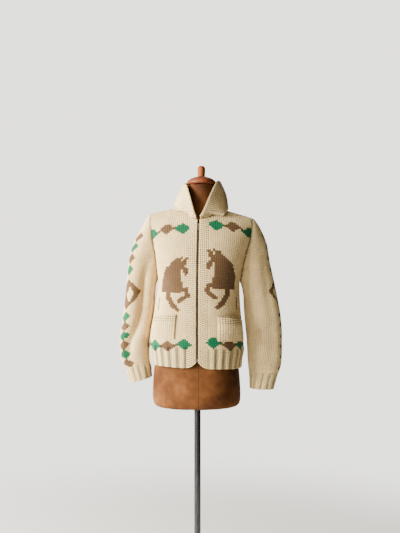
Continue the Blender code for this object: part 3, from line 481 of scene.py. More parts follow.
def body_point(angle, v):
    """Points of the cloth's outer face. The angle runs from the front's middle, positive to the right."""
    z, half_width, front, back, _ = body_sizes(v)
    across = np.sin(angle)
    along = np.cos(angle)
    x = half_width * across * (1 + SQUARENESS * along ** 2)
    y = -np.where(along > 0, front, back) * along * (1 + SQUARENESS * across ** 2)
    shear = SHOULDER_SLOPE * smooth((z - ARMPIT_Z) / (SHOULDER_TOP_Z - ARMPIT_Z))
    z = z - shear * np.abs(x)
    return np.stack(np.broadcast_arrays(x + lean_rows["body_x"](z), y, z - TILT * x), axis=-1)


def lengths(line):
    """How far along a line each of its points lies."""
    return np.concatenate([[0], np.cumsum(np.linalg.norm(np.diff(line, axis=0), axis=1))])


def along_line(line, arc, at):
    """Points of a line, at distances along it."""
    return np.stack([np.interp(at, arc, line[:, axis]) for axis in range(3)], axis=-1)


def unit(vectors):
    return vectors / np.maximum(np.linalg.norm(vectors, axis=-1, keepdims=True), 1e-12)


def faces_of(place, u, v, step=2e-4):
    """The way a surface faces at each place, from points on either side of it."""
    along_u = place(u + step, v) - place(u - step, v)
    along_v = place(u, v + step) - place(u, v - step)
    return unit(np.cross(along_u, along_v))


def off_body(angle, v, out):
    """Points that lie off the cloth's outer face, outwards where `out` is positive."""
    return body_point(angle, v) + faces_of(body_point, angle, v) * np.asarray(out)[..., None]


def angle_at(x, v):
    """The angle whose point at a level lies x metres to the side of the body's middle."""
    target = x / body_sizes(v).half_width
    across = target
    for _ in range(8):
        across = target / (1 + SQUARENESS * (1 - across * across))
    return np.arcsin(np.clip(across, -1, 1))


def from_zip(x, v):
    """The angle whose point at a level lies x metres to the side of the zip."""
    z = body_sizes(v).z
    return angle_at(x + lean_rows["zip_x"](z) - lean_rows["body_x"](z), v)


NECK_SHIFT = float(lean_rows["zip_x"](SLIDER_Z) - lean_rows["body_x"](SLIDER_Z))


def neck_curve(lowest, share):
    """The level of the neck edge: lowest in the middle, and up at the shoulder seam at a share of 1."""
    return lowest + (SHOULDER_SEAM_V - lowest) * (1 - np.sqrt(1 - share ** 2))


def front_top(side, angle, v):
    """The level of the neck edge above a point of a front."""
    x = body_sizes(v).half_width * reach_of(angle)
    share = np.clip((side * x - side * NECK_SHIFT) / (NECK_HALF_WIDTH - side * NECK_SHIFT), 0, 1)
    return neck_curve(FRONT_NECK_V, share)


def back_top(angle, v):
    """The level of the neck edge above a point of the back."""
    x = body_sizes(v).half_width * reach_of(angle)
    return neck_curve(BACK_NECK_V, np.clip(np.abs(x) / NECK_HALF_WIDTH, 0, 1))


def neck_level(v, angle_of, top_of):
    """The level of rows that end at the neck edge, found by closing in on it."""
    level = v
    for _ in range(10):
        under = np.where(v <= 1, v, 1 + (top_of(angle_of(level), level) - 1) * (v - 1))
        level = (level + under) / 2
    return level


def shoulder_level(v):
    """The level of rows that end at the shoulder seam."""
    return np.where(v <= 1, v, 1 + (SHOULDER_SEAM_V - 1) * (v - 1))


def last_angle(v):
    """The angle where a panel ends at the side, a hair short of the seam below the armhole."""
    side_angle = body_sizes(v).side_angle
    return np.where(v <= ARMPIT_V, side_angle - SIDE_SEAM_ANGLE, side_angle)


def stations(*spans):
    """Even values over spans (start, end, count) that meet end to end."""
    first, *rest = [np.linspace(*span) for span in spans]
    return np.concatenate([first] + [span[1:] for span in rest])


print("armpit level:", round(ARMPIT_V, 3))

# %% [markdown]
# A knitted fabric is rows of loops. On the right side each loop shows as a V of two fat legs of yarn. One V
# is modelled once, of 24 triangles, and laid on a grid: across counts stitches, up counts rows, and out is
# the height above the cloth. The legs overlap the row above, as they do in knitting.

# %% One knit stitch and one purl bump
Stitch = namedtuple("Stitch", "points faces")
STITCH_WIDTH = 0.0070
STITCH_HEIGHT = 0.0052
LEG_SPREAD = 0.345
LEG_RISE = 1.22
BASE_OUT = -0.0012
LEG_RINGS = ((0.30, 0.00145, 0.00062), (0.72, 0.00168, 0.00095))


def leg(side):
    """One leg of the V: a tapered bead from the foot of the V to its open end."""
    foot = np.array([0.5, -0.06])
    run = np.array([side * LEG_SPREAD, LEG_RISE])
    real_run = run * (STITCH_WIDTH, STITCH_HEIGHT)
    square = np.array([real_run[1], -real_run[0]]) / np.linalg.norm(real_run)
    square = square / (STITCH_WIDTH, STITCH_HEIGHT)
    points = [(*foot, BASE_OUT)]
    for along, half, top in LEG_RINGS:
        for share, height in ((-1.0, BASE_OUT), (-0.45, top), (0.45, top), (1.0, BASE_OUT)):
            points.append((*(foot + run * along + square * share * half), height))
    points.append((*(foot + run), BASE_OUT * 0.6))
    faces = [(0, 2, 1), (0, 3, 2), (0, 4, 3)]
    for i in (1, 2, 3):
        faces += [(i, i + 1, i + 5), (i, i + 5, i + 4)]
    faces += [(5, 6, 9), (6, 7, 9), (7, 8, 9)]
    return points, faces


def join_stitch(*parts):
    points = []
    faces = []
    for part_points, part_faces in parts:
        faces += [tuple(i + len(points) for i in face) for face in part_faces]
        points += part_points
    return Stitch(np.array(points, float), np.array(faces, int))


BUMP_WIDTH = 1.16
BUMP_HEIGHT = 0.40
BUMP_TOP = 0.0017
BUMP_SAG = 0.05
BUMP_RINGS = ((0.22, 0.86), (0.5, 1.0), (0.78, 0.86))


def purl_bump():
    """A garter ridge's bump: a fat bead across the fabric, its ends a little lower than its middle."""
    points = [(0.5 - BUMP_WIDTH / 2, 0.5 - BUMP_SAG, BASE_OUT)]
    for along, share in BUMP_RINGS:
        a = 0.5 - BUMP_WIDTH / 2 + BUMP_WIDTH * along
        b = 0.5 + BUMP_SAG * (1 - (2 * along - 1) ** 2 * 2)
        points.append((a, b - BUMP_HEIGHT * share, BASE_OUT))
        points.append((a, b, BUMP_TOP * share))
        points.append((a, b + BUMP_HEIGHT * share, BASE_OUT))
    points.append((0.5 + BUMP_WIDTH / 2, 0.5 - BUMP_SAG, BASE_OUT))
    faces = [(0, 1, 2), (0, 2, 3)]
    for i in (1, 2, 4, 5):
        faces += [(i, i + 3, i + 4), (i, i + 4, i + 1)]
    faces += [(7, 10, 8), (8, 10, 9)]
    return points, faces


KNIT = join_stitch(leg(LEFT), leg(RIGHT))
PURL = join_stitch(purl_bump())
print("triangles in a stitch:", len(KNIT.faces), "and in a bump:", len(PURL.faces))

# %% [markdown]
# Thousands of stitches would take far too long by hand or by operators, so each panel's stitches are one
# mesh, filled from arrays. Each is moved and swollen a little at random, because handwork isn't even, and
# takes the colour of its yarn as an attribute of its points.

# %% A mesh from arrays, and stitches laid on a grid
Grid = namedtuple("Grid", "points out")


def mesh_piece(name, points, faces, material, shade_sharp=None):
    """A new object from an array of points and an array of faces of one kind."""
    faces = np.asarray(faces, np.int32)
    corners = faces.shape[1]
    data = bpy.data.meshes.new(name)
    data.vertices.add(len(points))
    data.vertices.foreach_set("co", np.asarray(points, np.float32).ravel())
    data.loops.add(faces.size)
    data.loops.foreach_set("vertex_index", faces.ravel())
    data.polygons.add(len(faces))
    data.polygons.foreach_set("loop_start", np.arange(0, faces.size, corners, dtype=np.int32))
    data.update(calc_edges=True)
    data.validate()
    data.shade_smooth()
    if shade_sharp:
        data.set_sharp_from_angle(angle=math.radians(shade_sharp))
    data.materials.append(material)
    made = bpy.data.objects.new(name, data)
    bpy.context.scene.collection.objects.link(made)
    return made


def paint(piece, colours):
    """The yarn's colour at each point of a piece, with any painted shade in it."""
    attribute = piece.data.color_attributes.new("yarn", "FLOAT_COLOR", "POINT")
    values = np.ones((len(colours), 4), np.float32)
    values[:, :3] = colours
    attribute.data.foreach_set("color", values.ravel())


def on_grid(grid, a, b, out):
    """Points at fractional places of a grid: a counts columns, b rows, and out is above the surface."""
    rows, columns = grid.points.shape[:2]
    i = np.clip(np.floor(a).astype(int), 0, columns - 2)
    j = np.clip(np.floor(b).astype(int), 0, rows - 2)
    s = (a - i)[..., None]
    t = (b - j)[..., None]

    def between(field):
        low = field[j, i] * (1 - s) + field[j, i + 1] * s
        high = field[j + 1, i] * (1 - s) + field[j + 1, i + 1] * s
        return low * (1 - t) + high * t

    return between(grid.points) + unit(between(grid.out)) * out[..., None]


def outward(grid_points, centre):
    """A grid with the direction out of the cloth at each point, away from a middle line."""
    along = np.gradient(grid_points, axis=1)
    up = np.gradient(grid_points, axis=0)
    out = unit(np.cross(along, up))
    towards = np.sum(out * (grid_points - centre), axis=-1)
    return Grid(grid_points, out * (1 if np.nansum(np.sign(towards)) > 0 else -1))


UNEVEN = 0.10
WANDER = 0.035
DARKEST = 0.93
LIGHTEST = 1.05


def lay_stitches(name, grid, cells, colours, material, rng, stitch=KNIT):
    """One mesh with a stitch in every cell (column, row), each a little uneven as handwork is."""
    count = len(cells)
    size = len(stitch.points)
    wander = rng.uniform(-WANDER, WANDER, (count, 1, 2))
    swell = rng.uniform(1 - UNEVEN, 1 + UNEVEN, (count, 1))
    a = cells[:, 0][:, None] + stitch.points[None, :, 0] + wander[..., 0]
    b = cells[:, 1][:, None] + stitch.points[None, :, 1] + wander[..., 1]
    height = stitch.points[None, :, 2]
    out = np.where(height > 0, height * swell, height)
    points = on_grid(grid, a, b, out).reshape(-1, 3)
    faces = (stitch.faces[None] + np.arange(count)[:, None, None] * size).reshape(-1, 3)
    along = grid.points[1:, :-1] - grid.points[:-1, :-1]
    across = grid.points[:-1, 1:] - grid.points[:-1, :-1]
    handed = np.nansum(np.sum(np.cross(across, along) * grid.out[:-1, :-1], axis=-1))
    if handed < 0:
        faces = faces[:, ::-1]
    piece = mesh_piece(name, points, faces, material)
    tone = rng.uniform(DARKEST, LIGHTEST, (count, 1)) * colours
    paint(piece, np.repeat(tone, size, axis=0))
    print(name, count, "stitches,", len(faces), "triangles")
    return piece

# %% [markdown]
# Under the stitches lies the cloth itself, a closed wall as thick as the frame's. It is darker than the yarn,
# so that the gaps between the stitches read as shade, and darkest between the ridges of garter stitch.

# %% The cloth under the stitches
CLOTH_SINK = 0.0009
SHARP_EDGE = 60


def close_wall(rows, columns, round_it):
    """The faces of a closed wall: outer points, then inner points, row by row."""
    index = np.arange(2 * rows * columns).reshape(2, rows, columns)
    if round_it:
        index = np.concatenate([index, index[:, :, :1]], axis=2)
    strips = [(index[0], 1), (index[1], -1), (index[:, 0], -1), (index[:, -1], 1)]
    if not round_it:
        strips += [(index[:, :, 0], 1), (index[:, :, -1], -1)]
    faces = []
    for strip, flip in strips:
        corners = [strip[:-1, :-1], strip[:-1, 1:], strip[1:, 1:], strip[1:, :-1]]
        faces.append(np.stack(corners, axis=-1).reshape(-1, 4)[:, ::flip])
    return np.concatenate(faces)


def wall_of_cloth(name, place, columns, rows, material, thickness=WALL, sink=CLOTH_SINK, round_it=False):
    """The cloth under the stitches: place(u, v, out) gives its points, and it is closed on all sides."""
    u, v = np.meshgrid(columns[:-1] if round_it else columns, rows)
    outer = place(u, v, np.full(u.shape, -sink))
    inner = place(u, v, np.full(u.shape, -thickness))
    points = np.concatenate([outer.reshape(-1, 3), inner.reshape(-1, 3)])
    faces = close_wall(u.shape[0], u.shape[1], round_it)
    corner = points[faces]
    volume = np.sum(corner[:, 0] * np.cross(corner[:, 1], corner[:, 2]))
    volume += np.sum(corner[:, 0] * np.cross(corner[:, 2], corner[:, 3]))
    if volume < 0:
        faces = faces[:, ::-1]
    piece = mesh_piece(name, points, faces, material, shade_sharp=SHARP_EDGE)
    area = sum(face.area for face in piece.data.polygons) / 2
    print(name, "cloth area one side:", round(float(area), 4))
    return piece


KNIT_SHADE = 0.46
GARTER_SHADE = 0.24


def colour_and_shade_cloth(cloth, centres, colours, shade=KNIT_SHADE):
    """Give the cloth between the stitches the colour of the nearest stitch, darkened with painted crevice shade."""
    tree = KDTree(len(centres))
    for index, centre in enumerate(centres):
        tree.insert(centre, index)
    tree.balance()
    nearest = [tree.find(vertex.co)[1] for vertex in cloth.data.vertices]
    paint(cloth, colours[nearest] * shade)


def centres_of(grid, cells):
    """The middle of each cell's stitch."""
    return on_grid(grid, cells[:, 0] + 0.5, cells[:, 1] + 0.5, np.zeros(len(cells)))


def whole_cells(inside):
    """The cells (column, row) of a grid whose four corners all lie inside the panel."""
    whole = inside[:-1, :-1] & inside[1:, :-1] & inside[:-1, 1:] & inside[1:, 1:]
    rows, columns = np.nonzero(whole)
    return np.stack([columns, rows], axis=1)


def all_cells(grid):
    """Every cell of a grid that is cloth all over."""
    return whole_cells(np.ones(grid.points.shape[:2], bool))


def grid_of(place, columns, rows, away_from):
    """A grid over a place(u, v, out), at given values of u and v."""
    u, v = np.meshgrid(columns, rows)
    return outward(place(u, v, np.zeros(u.shape)), away_from)


print("knitting helpers ready")

# %% [markdown]
# The wool is thick, lightly spun and undyed, with green and brown yarn carried in for the figures. Its
# colour comes with each stitch. Fine noise for the fibres, a felted sheen and a little mottling make it wool
# and not clay. Each kind of piece has a material of its own, so that one can be given another yarn.

# %% Wool
CREAM = np.array([0.86, 0.65, 0.335])
GREEN = np.array([0.004, 0.150, 0.062])
BROWN = np.array([0.155, 0.084, 0.037])


def plain(cells):
    """Undyed yarn for every cell."""
    return np.tile(CREAM, (len(cells), 1))


def wool(name):
    """Yarn whose colour, painted shade included, is read from each stitch."""
    material, tree, shader, where = new_material(
        name, tuple(CREAM), 0.92, Sheen_Weight=0.2, Sheen_Roughness=0.45, Specular_IOR_Level=0.25)
    shader.inputs["Sheen Tint"].default_value = (1.0, 0.97, 0.90, 1)
    yarn = node(tree, "ShaderNodeAttribute", attribute_name="yarn").outputs["Color"]
    cloud = ramp(tree, noise(tree, where, 26, 3), ((0.30, (0.90, 0.88, 0.84)), (0.70, (1.05, 1.05, 1.04))))
    fine = noise(tree, where, 900, 3)
    speck = ramp(tree, fine, ((0.30, (0.80, 0.79, 0.76)), (0.68, (1.08, 1.08, 1.06))))
    base = blended(tree, "MULTIPLY", 1.0, yarn, cloud)
    base = blended(tree, "MULTIPLY", 0.75, base, speck)
    tree.links.new(base, shader.inputs["Base Color"])
    bump(tree, shader, fine, 0.55, 0.0006)
    return material


cream_wool = wool("cream_wool")
band_wool = wool("band_wool")
collar_wool = wool("collar_wool")
pocket_wool = wool("pocket_wool")
print("wool for", ", ".join(m.name for m in (cream_wool, band_wool, collar_wool, pocket_wool)))

# %% [markdown]
# The figures are ordinary ones of this kind of knitting, charted in stitches: a row of diamonds, in turn
# green and brown, over the chest and above the hem, a hollow lozenge in each sleeve, and a pair of rearing
# horses that face the zip. A horse is drawn with a few fat strokes of a pencil on squared paper, and every
# stitch whose middle lies under a stroke is brown.

# %% Charts
DIAMOND_PITCH = 8
DIAMOND_HALF_WIDTH = 3.9
DIAMOND_HALF_HEIGHT = 4.0
DIAMOND_FULLNESS = 1.10
DIAMONDS = 6
KNOT_HALF_WIDTH = 0.6
KNOT_HALF_HEIGHT = 0.9
KNOT_SHADE = 0.8


def diamond(columns, rows, half_width, half_height, fullness=1.0):
    """Which stitches lie in a diamond. A fullness over 1 swells its sides and blunts its points."""
    within = (np.abs(columns) <= half_width) & (np.abs(rows) <= half_height)
    return within & (np.abs(columns) / half_width + np.abs(rows) / half_height <= fullness)


def diamond_row(colours, columns, rows, first, lifts=(0.0,), lean=0.0):
    """Colour a row of diamonds. Rows count from its middle, and lean is how many it climbs a column."""
    for number in range(DIAMONDS):
        middle = first + DIAMOND_PITCH * number
        lift = lifts[min(number, len(lifts) - 1)]
        next_lift = lifts[min(number + 1, len(lifts) - 1)]
        knot = np.abs(columns - middle - DIAMOND_PITCH / 2) < KNOT_HALF_WIDTH
        knot &= np.abs(rows - (lift + next_lift) / 2) < KNOT_HALF_HEIGHT
        colours[knot] = BROWN * KNOT_SHADE
        across = columns - middle
        up = rows - lift - lean * across
        inside = diamond(across, up, DIAMOND_HALF_WIDTH, DIAMOND_HALF_HEIGHT, DIAMOND_FULLNESS)
        colours[inside] = BROWN if number % 2 else GREEN


print("diamonds in a row:", DIAMONDS)

# %% [markdown]
# A stroke runs from one place to another, in stitches from the front band and rows down from the ears. Its
# width is in millimetres, because a stitch is wider than it is high.

# %% The horse
Stroke = namedtuple("Stroke", "a b to_a to_b radius to_radius")
HORSE_BODY = (
    Stroke(5.0, 4.2, 7.3, 8.5, 17, 24),
    Stroke(7.3, 8.5, 9.1, 14.0, 24, 38),
    Stroke(9.1, 14.0, 10.1, 20.5, 38, 47),
    Stroke(10.1, 20.5, 10.4, 27.0, 47, 48),
)
HORSE_LIMBS = (
    Stroke(3.2, 4.8, 1.9, 9.5, 15, 10),
    Stroke(1.9, 9.5, 1.3, 12.6, 10, 7),
    Stroke(0.7, 1.6, 2.0, 4.2, 4, 5),
    Stroke(3.6, 0.6, 3.8, 4.0, 4, 6),
    Stroke(5.6, 25.4, 1.0, 24.6, 10, 8),
    Stroke(0.7, 25.0, 0.8, 29.6, 8, 9),
    Stroke(0.8, 29.6, 5.0, 33.6, 9, 7),
    Stroke(11.3, 27.0, 11.2, 31.5, 12, 11),
    Stroke(11.2, 31.5, 8.5, 36.8, 11, 10),
    Stroke(8.5, 36.8, 5.4, 40.2, 10, 7),
    Stroke(18.8, 33.0, 18.4, 41.0, 3.4, 3.4),
)
HORSE_GAPS = (
    Stroke(1.3, 7.0, 1.3, 7.6, 3.6, 3.6),
    Stroke(3.7, 2.8, 3.8, 3.6, 3.0, 3.0),
    Stroke(3.4, 11.0, 3.2, 17.5, 3.6, 3.6),
)
HORSE_BELLY = 27.4
HORSE_ROWS = 41.5
STITCH_MM = np.array([7.0, 5.2])


def under(stroke, a, b):
    """Which places, in stitches and rows, lie under a tapered stroke; its radii are in millimetres."""
    start = np.array([stroke.a, stroke.b]) * STITCH_MM
    end = np.array([stroke.to_a, stroke.to_b]) * STITCH_MM
    place = np.stack([a, b], axis=-1) * STITCH_MM
    run = end - start
    share = np.clip(((place - start) @ run) / (run @ run), 0, 1)
    reach = np.linalg.norm(place - start - share[..., None] * run, axis=-1)
    return reach <= stroke.radius + (stroke.to_radius - stroke.radius) * share


def horse(colours, a, b):
    """Colour a horse; a counts stitches from the band and b rows down from its ears."""
    body = np.zeros(a.shape, bool)
    for stroke in HORSE_BODY:
        body |= under(stroke, a, b)
    body &= b <= HORSE_BELLY
    for stroke in HORSE_LIMBS:
        body |= under(stroke, a, b)
    for stroke in HORSE_GAPS:
        body &= ~under(stroke, a, b)
    colours[body] = BROWN


print("strokes in a horse:", len(HORSE_BODY + HORSE_LIMBS + HORSE_GAPS))

# %% [markdown]
# The body is knitted upwards in columns of the same width, counted from the front bands, and the armhole and
# the neck cut them off. So each row of the grid is measured along the cloth with a tape, and the columns
# are marked off at even distances. The hem's ribs swell out of the same grid.

# %% Body grids
SAMPLES = 121
TAPE_TURN = math.radians(30)
GRID_MIDDLE_X = 0.005
fine_v = np.linspace(0, TOP_V, 801)
climbed = lengths(body_point(np.full(fine_v.shape, TAPE_TURN), fine_v))
BODY_ROWS = int(climbed[-1] / STITCH_HEIGHT)
row_levels = np.interp(np.arange(BODY_ROWS + 2) * climbed[-1] / BODY_ROWS, climbed, fine_v)


def rib_profile(position):
    """How far the cloth stands out at a place counted in ribs, round on a rib and sunk in a furrow."""
    return RIB_HEIGHT * np.sqrt(np.abs(np.sin(math.pi * position))) * RIB_SWELL - RIB_DIP


def rib_height(position, v):
    """The hem's ribs, which fade out above it."""
    return rib_profile(position) * np.clip((RIB_END_V - v) / (RIB_END_V - HEM_RIB_V), 0, 1)


def body_grid(columns, first_of, angle_of, ribs_at):
    """A grid of body points. first_of(v) is the angle at column 0, and columns run to the body's side."""
    angles = []
    turns = np.linspace(0, math.pi / 2, SAMPLES)
    count = np.abs(columns)
    for v in row_levels:
        arc = lengths(body_point(angle_of(turns), np.full(SAMPLES, min(v, TOP_V))))
        start = np.interp(first_of(v), turns, arc)
        at = start + (arc[-1] - start) * count / count.max()
        angles.append(np.interp(at, arc, turns))
    angles = np.array(angles)
    v = np.repeat(np.minimum(row_levels, LAST_GRID_V)[:, None], len(columns), axis=1)
    place = angle_of(angles) if columns.min() >= 0 else math.pi - np.sign(columns) * angles
    points = off_body(place, v, ribs_at(place, v))
    return outward(points, points * (0, 0, 1) + (GRID_MIDDLE_X, 0, 0)), place, v


RIB_STITCHES = 4
FURROW_HALF = 0.8
FURROW_SHADE = 0.52


def shade_furrows(colours, from_edge, rows, last_row):
    """Darken the sunken stitches beside each furrow of the ribs, where little light reaches."""
    from_furrow = (from_edge + RIB_STITCHES / 2) % RIB_STITCHES - RIB_STITCHES / 2
    colours[(np.abs(from_furrow) < FURROW_HALF) & (rows < last_row)] *= FURROW_SHADE


def edge_angle(side, v):
    """The angle of a front's edge beside its band, counted towards its own side."""
    return side * from_zip(side * (BAND_GAP_HALF + BAND_WIDTH + SEAM_GAP), v)


def tape_share(start, angle_of):
    """Shares of the angle from `start` to the side seam, and of the cloth's width there, in the hem."""
    turns = np.linspace(start, math.pi / 2, 181)
    arc = lengths(body_point(angle_of(turns), np.full(turns.shape, HEM_RIB_V / 2)))
    return (turns - start) / (math.pi / 2 - start), arc / arc[-1]


FRONT_COLUMNS = 28
BACK_COLUMNS = 36
RIB_SHADE_END_V = HEM_RIB_V + 0.02
CLOTH_LEVELS = stations((0, 1, 60), (1, TOP_V, 40))
HEM_RIB_ROWS = float(np.interp(RIB_SHADE_END_V, row_levels, np.arange(len(row_levels))))
print("rows:", BODY_ROWS, "columns:", FRONT_COLUMNS, "a front,", 2 * BACK_COLUMNS, "the back")

# %% The two fronts
rng = np.random.default_rng(7)
Diamonds = namedtuple("Diamonds", "z first lifts lean")
FrontChart = namedtuple("FrontChart", "side chest hem horse_top_z horse_foot_z")
FRONT_CHARTS = {
    "left": FrontChart(
        LEFT,
        chest=Diamonds(1.3080, 2.5, (1.0, 2.4, 0.3), 0.10),
        hem=Diamonds(0.9030, 1.0, (0.6, -1.4, -2.0), 0.0),
        horse_top_z=1.2165, horse_foot_z=1.0190),
    "right": FrontChart(
        RIGHT,
        chest=Diamonds(1.3230, 3.2, (-1.0, 1.4, 0.3), 0.26),
        hem=Diamonds(0.9070, 2.6, (0.3, -1.1, -1.0), 0.0),
        horse_top_z=1.2409, horse_foot_z=1.0256),
}
HORSE_START = -1.0
CHART_TURN = math.radians(25)


def row_near(z, side):
    """The row, with its fraction, at a height a third of the way round a front."""
    v = np.minimum(row_levels, TOP_V)
    heights = body_point(side * CHART_TURN, v)[..., 2]
    return float(np.interp(z, heights, np.arange(len(v))))


def front_chart(chart, columns, rows):
    """The yarn of a front's stitches, or of a band's, whose columns count backwards from the front's edge."""
    colours = plain(columns)
    for row in (chart.chest, chart.hem):
        diamond_row(colours, columns, rows - row_near(row.z, chart.side), row.first, row.lifts, row.lean)
    top = row_near(chart.horse_top_z, chart.side)
    foot = row_near(chart.horse_foot_z, chart.side)
    horse(colours, columns - HORSE_START, (top - rows) * HORSE_ROWS / (top - foot))
    return colours


def front_tape(side):
    """Shares of the angle and of the cloth's width across a front."""
    return tape_share(float(edge_angle(side, HEM_RIB_V / 2)), lambda turns: side * turns)


def front_place(side):
    """The front's own wall, as in the frame: u runs from the band to the side seam and v from the hem up."""
    angle_share, width_share = front_tape(side)
    first = edge_angle(side, SHOULDER_SEAM_V)
    last = last_angle(SHOULDER_SEAM_V)
    neck_u = float((angle_at(NECK_HALF_WIDTH, SHOULDER_SEAM_V) - first) / (last - first))

    def place(u, v, out):
        def angle_of(level):
            low = edge_angle(side, level)
            return side * (low + (last_angle(level) - low) * u)

        level = neck_level(v, angle_of, lambda angle, level: front_top(side, angle, level))
        level = np.where(u >= neck_u - NEARLY, shoulder_level(v), level)
        across = np.interp(u, angle_share, width_share)
        ribs = np.where(out > -WALL, rib_height(across * FRONT_RIBS, v), 0.0)
        return off_body(angle_of(level), level, out + ribs)

    return place, neck_u


def add_front(chart, name):
    """The stitches and the cloth of a front. Its grid counts columns from the band."""
    side = chart.side
    angle_share, width_share = front_tape(side)

    def first_of(v):
        return edge_angle(side, v)

    def ribs_at(place, v):
        share = (side * place - first_of(v)) / (body_sizes(v).side_angle - first_of(v))
        return rib_height(np.interp(share, angle_share, width_share) * FRONT_RIBS, v)

    grid, place, v = body_grid(np.arange(FRONT_COLUMNS + 1), first_of, lambda turns: side * turns, ribs_at)
    in_armhole = side * place <= body_sizes(v).side_angle + NEARLY
    cells = whole_cells(in_armhole & (v <= front_top(side, place, v) + NEARLY))
    columns, rows = (cells + 0.5).T
    colours = front_chart(chart, columns, rows)
    shade_furrows(colours, columns, rows, HEM_RIB_ROWS)
    place_of, neck_u = front_place(side)
    columns_u = np.unique(np.append(np.linspace(0, 1, 57), neck_u))
    cloth = wall_of_cloth(name + "_cloth", place_of, columns_u, CLOTH_LEVELS, cream_wool)
    stitches = lay_stitches(name + "_stitches", grid, cells, colours, cream_wool, rng)
    colour_and_shade_cloth(cloth, centres_of(grid, cells), colours)
    return cloth, stitches


sewn = {}
for word, chart in FRONT_CHARTS.items():
    sewn["front_" + word] = add_front(chart, "front_" + word)
print("fronts knitted")

# %% [markdown]
# The back isn't seen in the photo. It is knitted in the same way, in one piece, with the same rows of
# diamonds carried round and the same pair of horses, as such sweaters often have.

# %% The back
BACK_DIAMONDS_Z = (1.3150, 0.9050)
BACK_HORSE_Z = 1.2300
BACK_HORSE_START = 3.0
back_angle_share, back_width_share = tape_share(0.0, lambda turns: math.pi - turns)
BACK_NECK_HALF = float(angle_at(NECK_HALF_WIDTH, SHOULDER_SEAM_V) / body_sizes(SHOULDER_SEAM_V).side_angle)


def back_rib_position(from_middle):
    """Ribs counted from the middle of the back, at a share (-1 to 1) of the angle to a side seam."""
    share = np.interp(np.abs(from_middle), back_angle_share, back_width_share)
    return np.sign(from_middle) * share * BACK_RIBS / 2


def back_place(u, v, out):
    """The back's own wall: u runs from side seam to side seam and v from the hem up."""
    from_middle = 2 * u - 1

    def angle_of(level):
        return math.pi - from_middle * last_angle(level)

    level = neck_level(v, angle_of, back_top)
    level = np.where(np.abs(from_middle) >= BACK_NECK_HALF - NEARLY, shoulder_level(v), level)
    ribs = np.where(out > -WALL, rib_height(back_rib_position(from_middle), v), 0.0)
    return off_body(angle_of(level), level, out + ribs)


def back_ribs(place, v):
    """The ribs' height at angles of the back."""
    return rib_height(back_rib_position((math.pi - place) / body_sizes(v).side_angle), v)


back_columns = np.arange(-BACK_COLUMNS, BACK_COLUMNS + 1)
grid, place, v = body_grid(back_columns, lambda v: 0.0, lambda turns: math.pi - turns, back_ribs)
in_armholes = np.abs(math.pi - place) <= body_sizes(v).side_angle + NEARLY
cells = whole_cells(in_armholes & (v <= back_top(place, v) + NEARLY))
colours = plain(cells)
from_middle = np.abs(cells[:, 0] - BACK_COLUMNS + 0.5)
rows = cells[:, 1] + 0.5
for height in BACK_DIAMONDS_Z:
    diamond_row(colours, from_middle, rows - row_near(height, RIGHT), 0.0)
horse(colours, from_middle - BACK_HORSE_START, row_near(BACK_HORSE_Z, RIGHT) - rows)
shade_furrows(colours, from_middle, rows, HEM_RIB_ROWS)
neck_ends = (0.5 - BACK_NECK_HALF / 2, 0.5 + BACK_NECK_HALF / 2)
columns_u = np.unique(np.append(np.linspace(0, 1, 145), neck_ends))
cloth = wall_of_cloth("back_cloth", back_place, columns_u, CLOTH_LEVELS, cream_wool)
stitches = lay_stitches("back_stitches", grid, cells, colours, cream_wool, rng)
colour_and_shade_cloth(cloth, centres_of(grid, cells), colours)
sewn["back"] = (cloth, stitches)
print("back knitted")

# %% [markdown]
# The bands beside the zip are garter stitch: every other row stands up as a ridge of bumps. They are laid
# on a grid of their own, with a row for each ridge, over a wall that sits a little deeper.

# %% The bands
RIDGE = 0.0075
BAND_STITCHES = 5
BAND_SINK = 0.0014
BODY_MIDDLE = np.array([0.0, 0.0, 1.1])


def band_place(side):
    """The band's own wall: u runs from the zip outwards, and v up from the hem's rounded corner."""
    def place(u, v, out):
        def angle_of(level):
            return from_zip(side * (BAND_GAP_HALF + BAND_WIDTH * u), level)

        low = BAND_CORNER_RISE / (YOKE_Z - HEM_Z) * (1 - u) ** 2
        start = low + (1 - low) * v
        level = neck_level(v, angle_of, lambda angle, level: front_top(side, angle, level))
        level = np.where(v < 1, start, level)
        return off_body(angle_of(level), level, out)

    return place


def even_rows(place, u, pitch):
    """Values of v at even steps of `pitch` metres up a line of a surface."""
    v = np.linspace(0, TOP_V, 601)
    climb = lengths(place(np.full(v.shape, u), v, np.zeros(v.shape)))
    count = round(float(climb[-1]) / pitch)
    return np.interp(np.linspace(0, climb[-1], count + 1), climb, v)


for word, chart in FRONT_CHARTS.items():
    name = "band_" + word
    side = chart.side
    place_of = band_place(side)
    across = np.linspace(0, 1, 9)
    up = np.linspace(0, TOP_V, 161)
    cloth = wall_of_cloth(name + "_cloth", place_of, across, up, band_wool, sink=BAND_SINK)
    ridges = even_rows(place_of, 0.5, RIDGE)
    grid = grid_of(place_of, np.linspace(0, 1, BAND_STITCHES + 1), ridges, BODY_MIDDLE)
    cells = all_cells(grid)
    columns = -(BAND_STITCHES - 0.5 - cells[:, 0]) * BAND_WIDTH / BAND_STITCHES / STITCH_WIDTH
    levels = np.minimum(row_levels, TOP_V)
    edge_heights = body_point(side * edge_angle(side, levels), levels)[..., 2]
    rows = np.interp(centres_of(grid, cells)[:, 2], edge_heights, np.arange(len(levels)))
    colours = front_chart(chart, columns, rows)
    stitches = lay_stitches(name + "_ridges", grid, cells, colours, band_wool, rng, PURL)
    colour_and_shade_cloth(cloth, centres_of(grid, cells), colours, GARTER_SHADE)
    sewn[name] = (cloth, stitches)
print("bands knitted")

# %% [markdown]
# A sleeve is a tube that narrows to the wrist. Its columns are counted from the outer line, and those that
# reach the underarm seam end there, as the decreases of the real one do. Rows are counted up from the cuff
# along each column, so that they lie square to the arm, and the armhole cuts them off in a curve.

